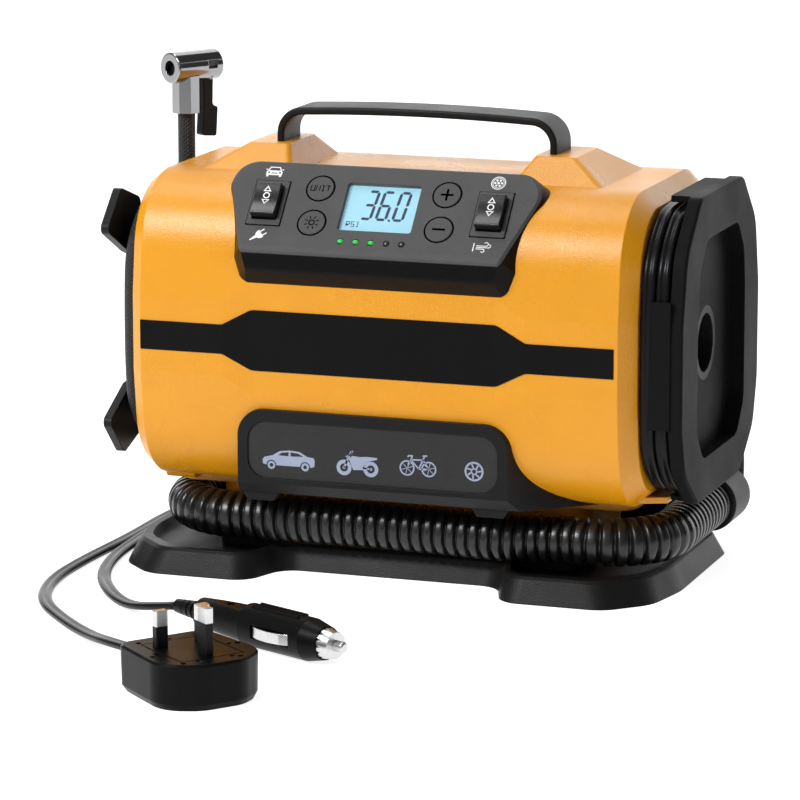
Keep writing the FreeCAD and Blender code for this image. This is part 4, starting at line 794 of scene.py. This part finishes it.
def rocker_prints():
    for side, body, node in ((-1, "power_switch", "power_rocker"), (1, "air_switch", "air_rocker")):
        top = surface_depth(node)
        shapes = moved(rocker_marks(), side * SWITCH_S, SWITCH_T + 1.6, 1.0)
        printed(body + "_marks", shapes, on_panel, WHITE, body,
                lambda u, v, top=top: top(u, v) - 0.2, lambda u, v, top=top: top(u, v) + 0.05)


def display():
    digits = digit("3", -9.6, -5.3, 5.0, 16.2, 1.5) + digit("6", -1.5, -5.3, 5.0, 16.2, 1.5)
    digits += digit("0", 7.3, -5.3, 5.0, 16.2, 1.5)
    digits += [[[(4.9, -6.2), (6.1, -6.2), (6.1, -5.0), (4.9, -5.0)]]]
    digits += word("PSI", -13.0, -8.8, 2.8, 0.34)
    printed("display_digits", digits, on_panel, NAVY, low=-2.62, high=-2.40)
    half_s, half_t, r = 19.3, 13.9, 1.4
    corners = [(half_s - r, half_t - r, 0), (-half_s + r, half_t - r, 90),
               (-half_s + r, -half_t + r, 180), (half_s - r, -half_t + r, 270)]
    outline = [p for u, v, a in corners for p in arc(u, v, r, a, a + 90, 5)]
    pane = printed("display_pane", [[outline]], on_panel, WINDOW, low=-1.5, high=-0.7)
    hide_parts("display_window")


def lamps():
    """Five small domed lamps; the first three are lit."""
    for i in range(-2, 3):
        bm = bmesh.new()
        bmesh.ops.create_uvsphere(bm, u_segments=20, v_segments=10, radius=LAMP_R * MM)
        turn = Matrix((Vector((1, 0, 0)), PANEL_UP, PANEL_OUT)).transposed().to_4x4()
        flatten = Matrix.Diagonal((1, 0.72, 0.45, 1))
        bmesh.ops.transform(bm, matrix=turn @ flatten, verts=bm.verts)
        bmesh.ops.translate(bm, vec=on_panel(LAMP_PITCH * i, LAMP_T, 0.0), verts=bm.verts)
        mesh = bpy.data.meshes.new("lamp")
        bm.to_mesh(mesh)
        bm.free()
        lit = i < 1
        lamp = new_object("lamp_%d" % (i + 3), mesh, LIT if lit else UNLIT)
        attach(lamp, "pump")
        if i == -2:
            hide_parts("led_lenses")


def badge_prints():
    shapes = moved(saloon(), -44.6, 64.6, 1.0) + moved(motorbike(), -7.4, 65.2, 1.12)
    shapes += moved(bicycle(), 24.6, 67.2, 1.03) + moved(rim(), 54.2, 65.8, 1.0)
    printed("badge_icons", shapes, on_insert, BADGE_INK)


PLUG_PLACE = Matrix.Translation((-0.013, -0.293, 0)) @ Matrix.Rotation(math.radians(-38), 4, "Z")
PLUG_TOP = 22.0


def on_plug(u, v, depth):
    """Point on the mains plug's top from mm along and across the plug."""
    return PLUG_PLACE @ Vector((u * MM, v * MM, (PLUG_TOP + depth) * MM))


def plug_hole_shade():
    """Small screw and vent holes in the plug's top, shown as flat dark discs: painted shade where the
    holes are.
    """
    places = [(-22, 15), (-21, -16), (3, 23), (4, -23), (22, -17), (24, 12)]
    shapes = [[disc(u, v, 1.4)] for u, v in places]
    # dark discs of painted shade in place of the holes
    printed("plug_hole_shade", shapes, on_plug, DARK_INK, low=-0.3, high=0.04)


# ---- studio ----
def area_light(name, place, target, size, power):
    light = bpy.data.lights.new(name, "AREA")
    light.shape = "RECTANGLE"
    light.size, light.size_y = size
    light.energy = power
    lamp = bpy.data.objects.new(name, light)
    bpy.context.scene.collection.objects.link(lamp)
    lamp.location = place
    lamp.rotation_euler = (Vector(target) - Vector(place)).to_track_quat("-Z", "Y").to_euler()


def stage_material(name, colour, glow):
    made = bpy.data.materials.new(name)
    made.use_nodes = True
    shader = made.node_tree.nodes["Principled BSDF"]
    shader.inputs["Base Color"].default_value = (*colour, 1)
    shader.inputs["Roughness"].default_value = 0.9
    shader.inputs["Emission Color"].default_value = (1, 1, 1, 1)
    shader.inputs["Emission Strength"].default_value = glow
    return made


def fade_to_front(made, low, high):
    """The floor's own light fades beyond 0.5 m in front, so that less of it reaches the object."""
    tree = made.node_tree
    place = node_of(tree, "ShaderNodeTexCoord")
    split = node_of(tree, "ShaderNodeSeparateXYZ")
    tree.links.new(place.outputs["Object"], split.inputs[0])
    glow = node_of(tree, "ShaderNodeMapRange")
    glow.inputs["From Min"].default_value = -0.95
    glow.inputs["From Max"].default_value = -0.5
    glow.inputs["To Min"].default_value = low
    glow.inputs["To Max"].default_value = high
    tree.links.new(split.outputs["Y"], glow.inputs["Value"])
    shader = tree.nodes["Principled BSDF"]
    tree.links.new(glow.outputs["Result"], shader.inputs["Emission Strength"])


def sky():
    """Dim surroundings that brighten towards the upper left of the front."""
    world = bpy.data.worlds.new("studio")
    world.use_nodes = True
    tree = world.node_tree
    place = node_of(tree, "ShaderNodeTexCoord")
    facing = node_of(tree, "ShaderNodeVectorMath", operation="DOT_PRODUCT")
    facing.inputs[1].default_value = Vector((-0.5, -0.6, 0.75)).normalized()
    tree.links.new(place.outputs["Generated"], facing.inputs[0])
    level = node_of(tree, "ShaderNodeMapRange")
    level.inputs["From Min"].default_value = 0.1
    level.inputs["From Max"].default_value = 0.95
    level.inputs["To Min"].default_value = 0.07
    level.inputs["To Max"].default_value = 0.5
    tree.links.new(facing.outputs["Value"], level.inputs["Value"])
    tree.links.new(level.outputs["Result"], tree.nodes["Background"].inputs["Strength"])
    tree.nodes["Background"].inputs["Color"].default_value = (1, 1, 1, 1)
    return world


def plane(name, corners, finish):
    mesh = bpy.data.meshes.new(name)
    mesh.from_pydata(corners, [], [(0, 1, 2, 3)])
    thing = new_object(name, mesh, finish, smooth=False)


def studio():
    scene = bpy.context.scene
    scene.view_settings.view_transform = "Standard"
    scene.world = sky()
    floor = stage_material("floor", (0.50, 0.50, 0.50), 0.86)
    fade_to_front(floor, 0.08, 0.86)
    backdrop = stage_material("backdrop", (0.9, 0.9, 0.9), 0.9)
    plane("floor", [(-6, -6, 0), (6, -6, 0), (6, 6, 0), (-6, 6, 0)], floor)
    plane("backdrop", [(-4, 3.2, 0), (4, 3.2, 0), (4, 3.2, 4), (-4, 3.2, 4)], backdrop)
    middle = (0, 0, 0.12)
    area_light("key", (-0.80, -1.40, 1.32), middle, (0.8, 0.2), 31)
    area_light("front", (-0.2, -1.9, 0.7), middle, (1.0, 0.5), 0.5)
    area_light("top", (-0.45, 0.12, 1.5), middle, (0.7, 0.3), 5.5)
    area_light("rim", (1.5, 0.6, 0.7), middle, (0.2, 0.9), 0.4)


def camera():
    """Eye level a little above the panel, from the front and right, with a long lens."""
    back = Vector((0.3206, -0.9260, 0.1994))
    up = Vector((-0.0652, 0.1884, 0.9799))
    target = Vector((0.0157, -0.082, 0.100))
    data = bpy.data.cameras.new("camera")
    data.lens = 195.75
    data.sensor_width = 36
    data.clip_start, data.clip_end = 0.1, 20
    thing = bpy.data.objects.new("camera", data)
    bpy.context.scene.collection.objects.link(thing)
    turn = Matrix((up.cross(back), up, back)).transposed()
    thing.matrix_world = Matrix.Translation(target + back * 2.175) @ turn.to_4x4()
    bpy.context.scene.camera = thing


camera()
studio()
finish_nodes()
leads()
air_hose()
duct()
panel_prints()
key_legends()
rocker_prints()
display()
lamps()
badge_prints()
plug_hole_shade()

bpy.context.view_layer.update()
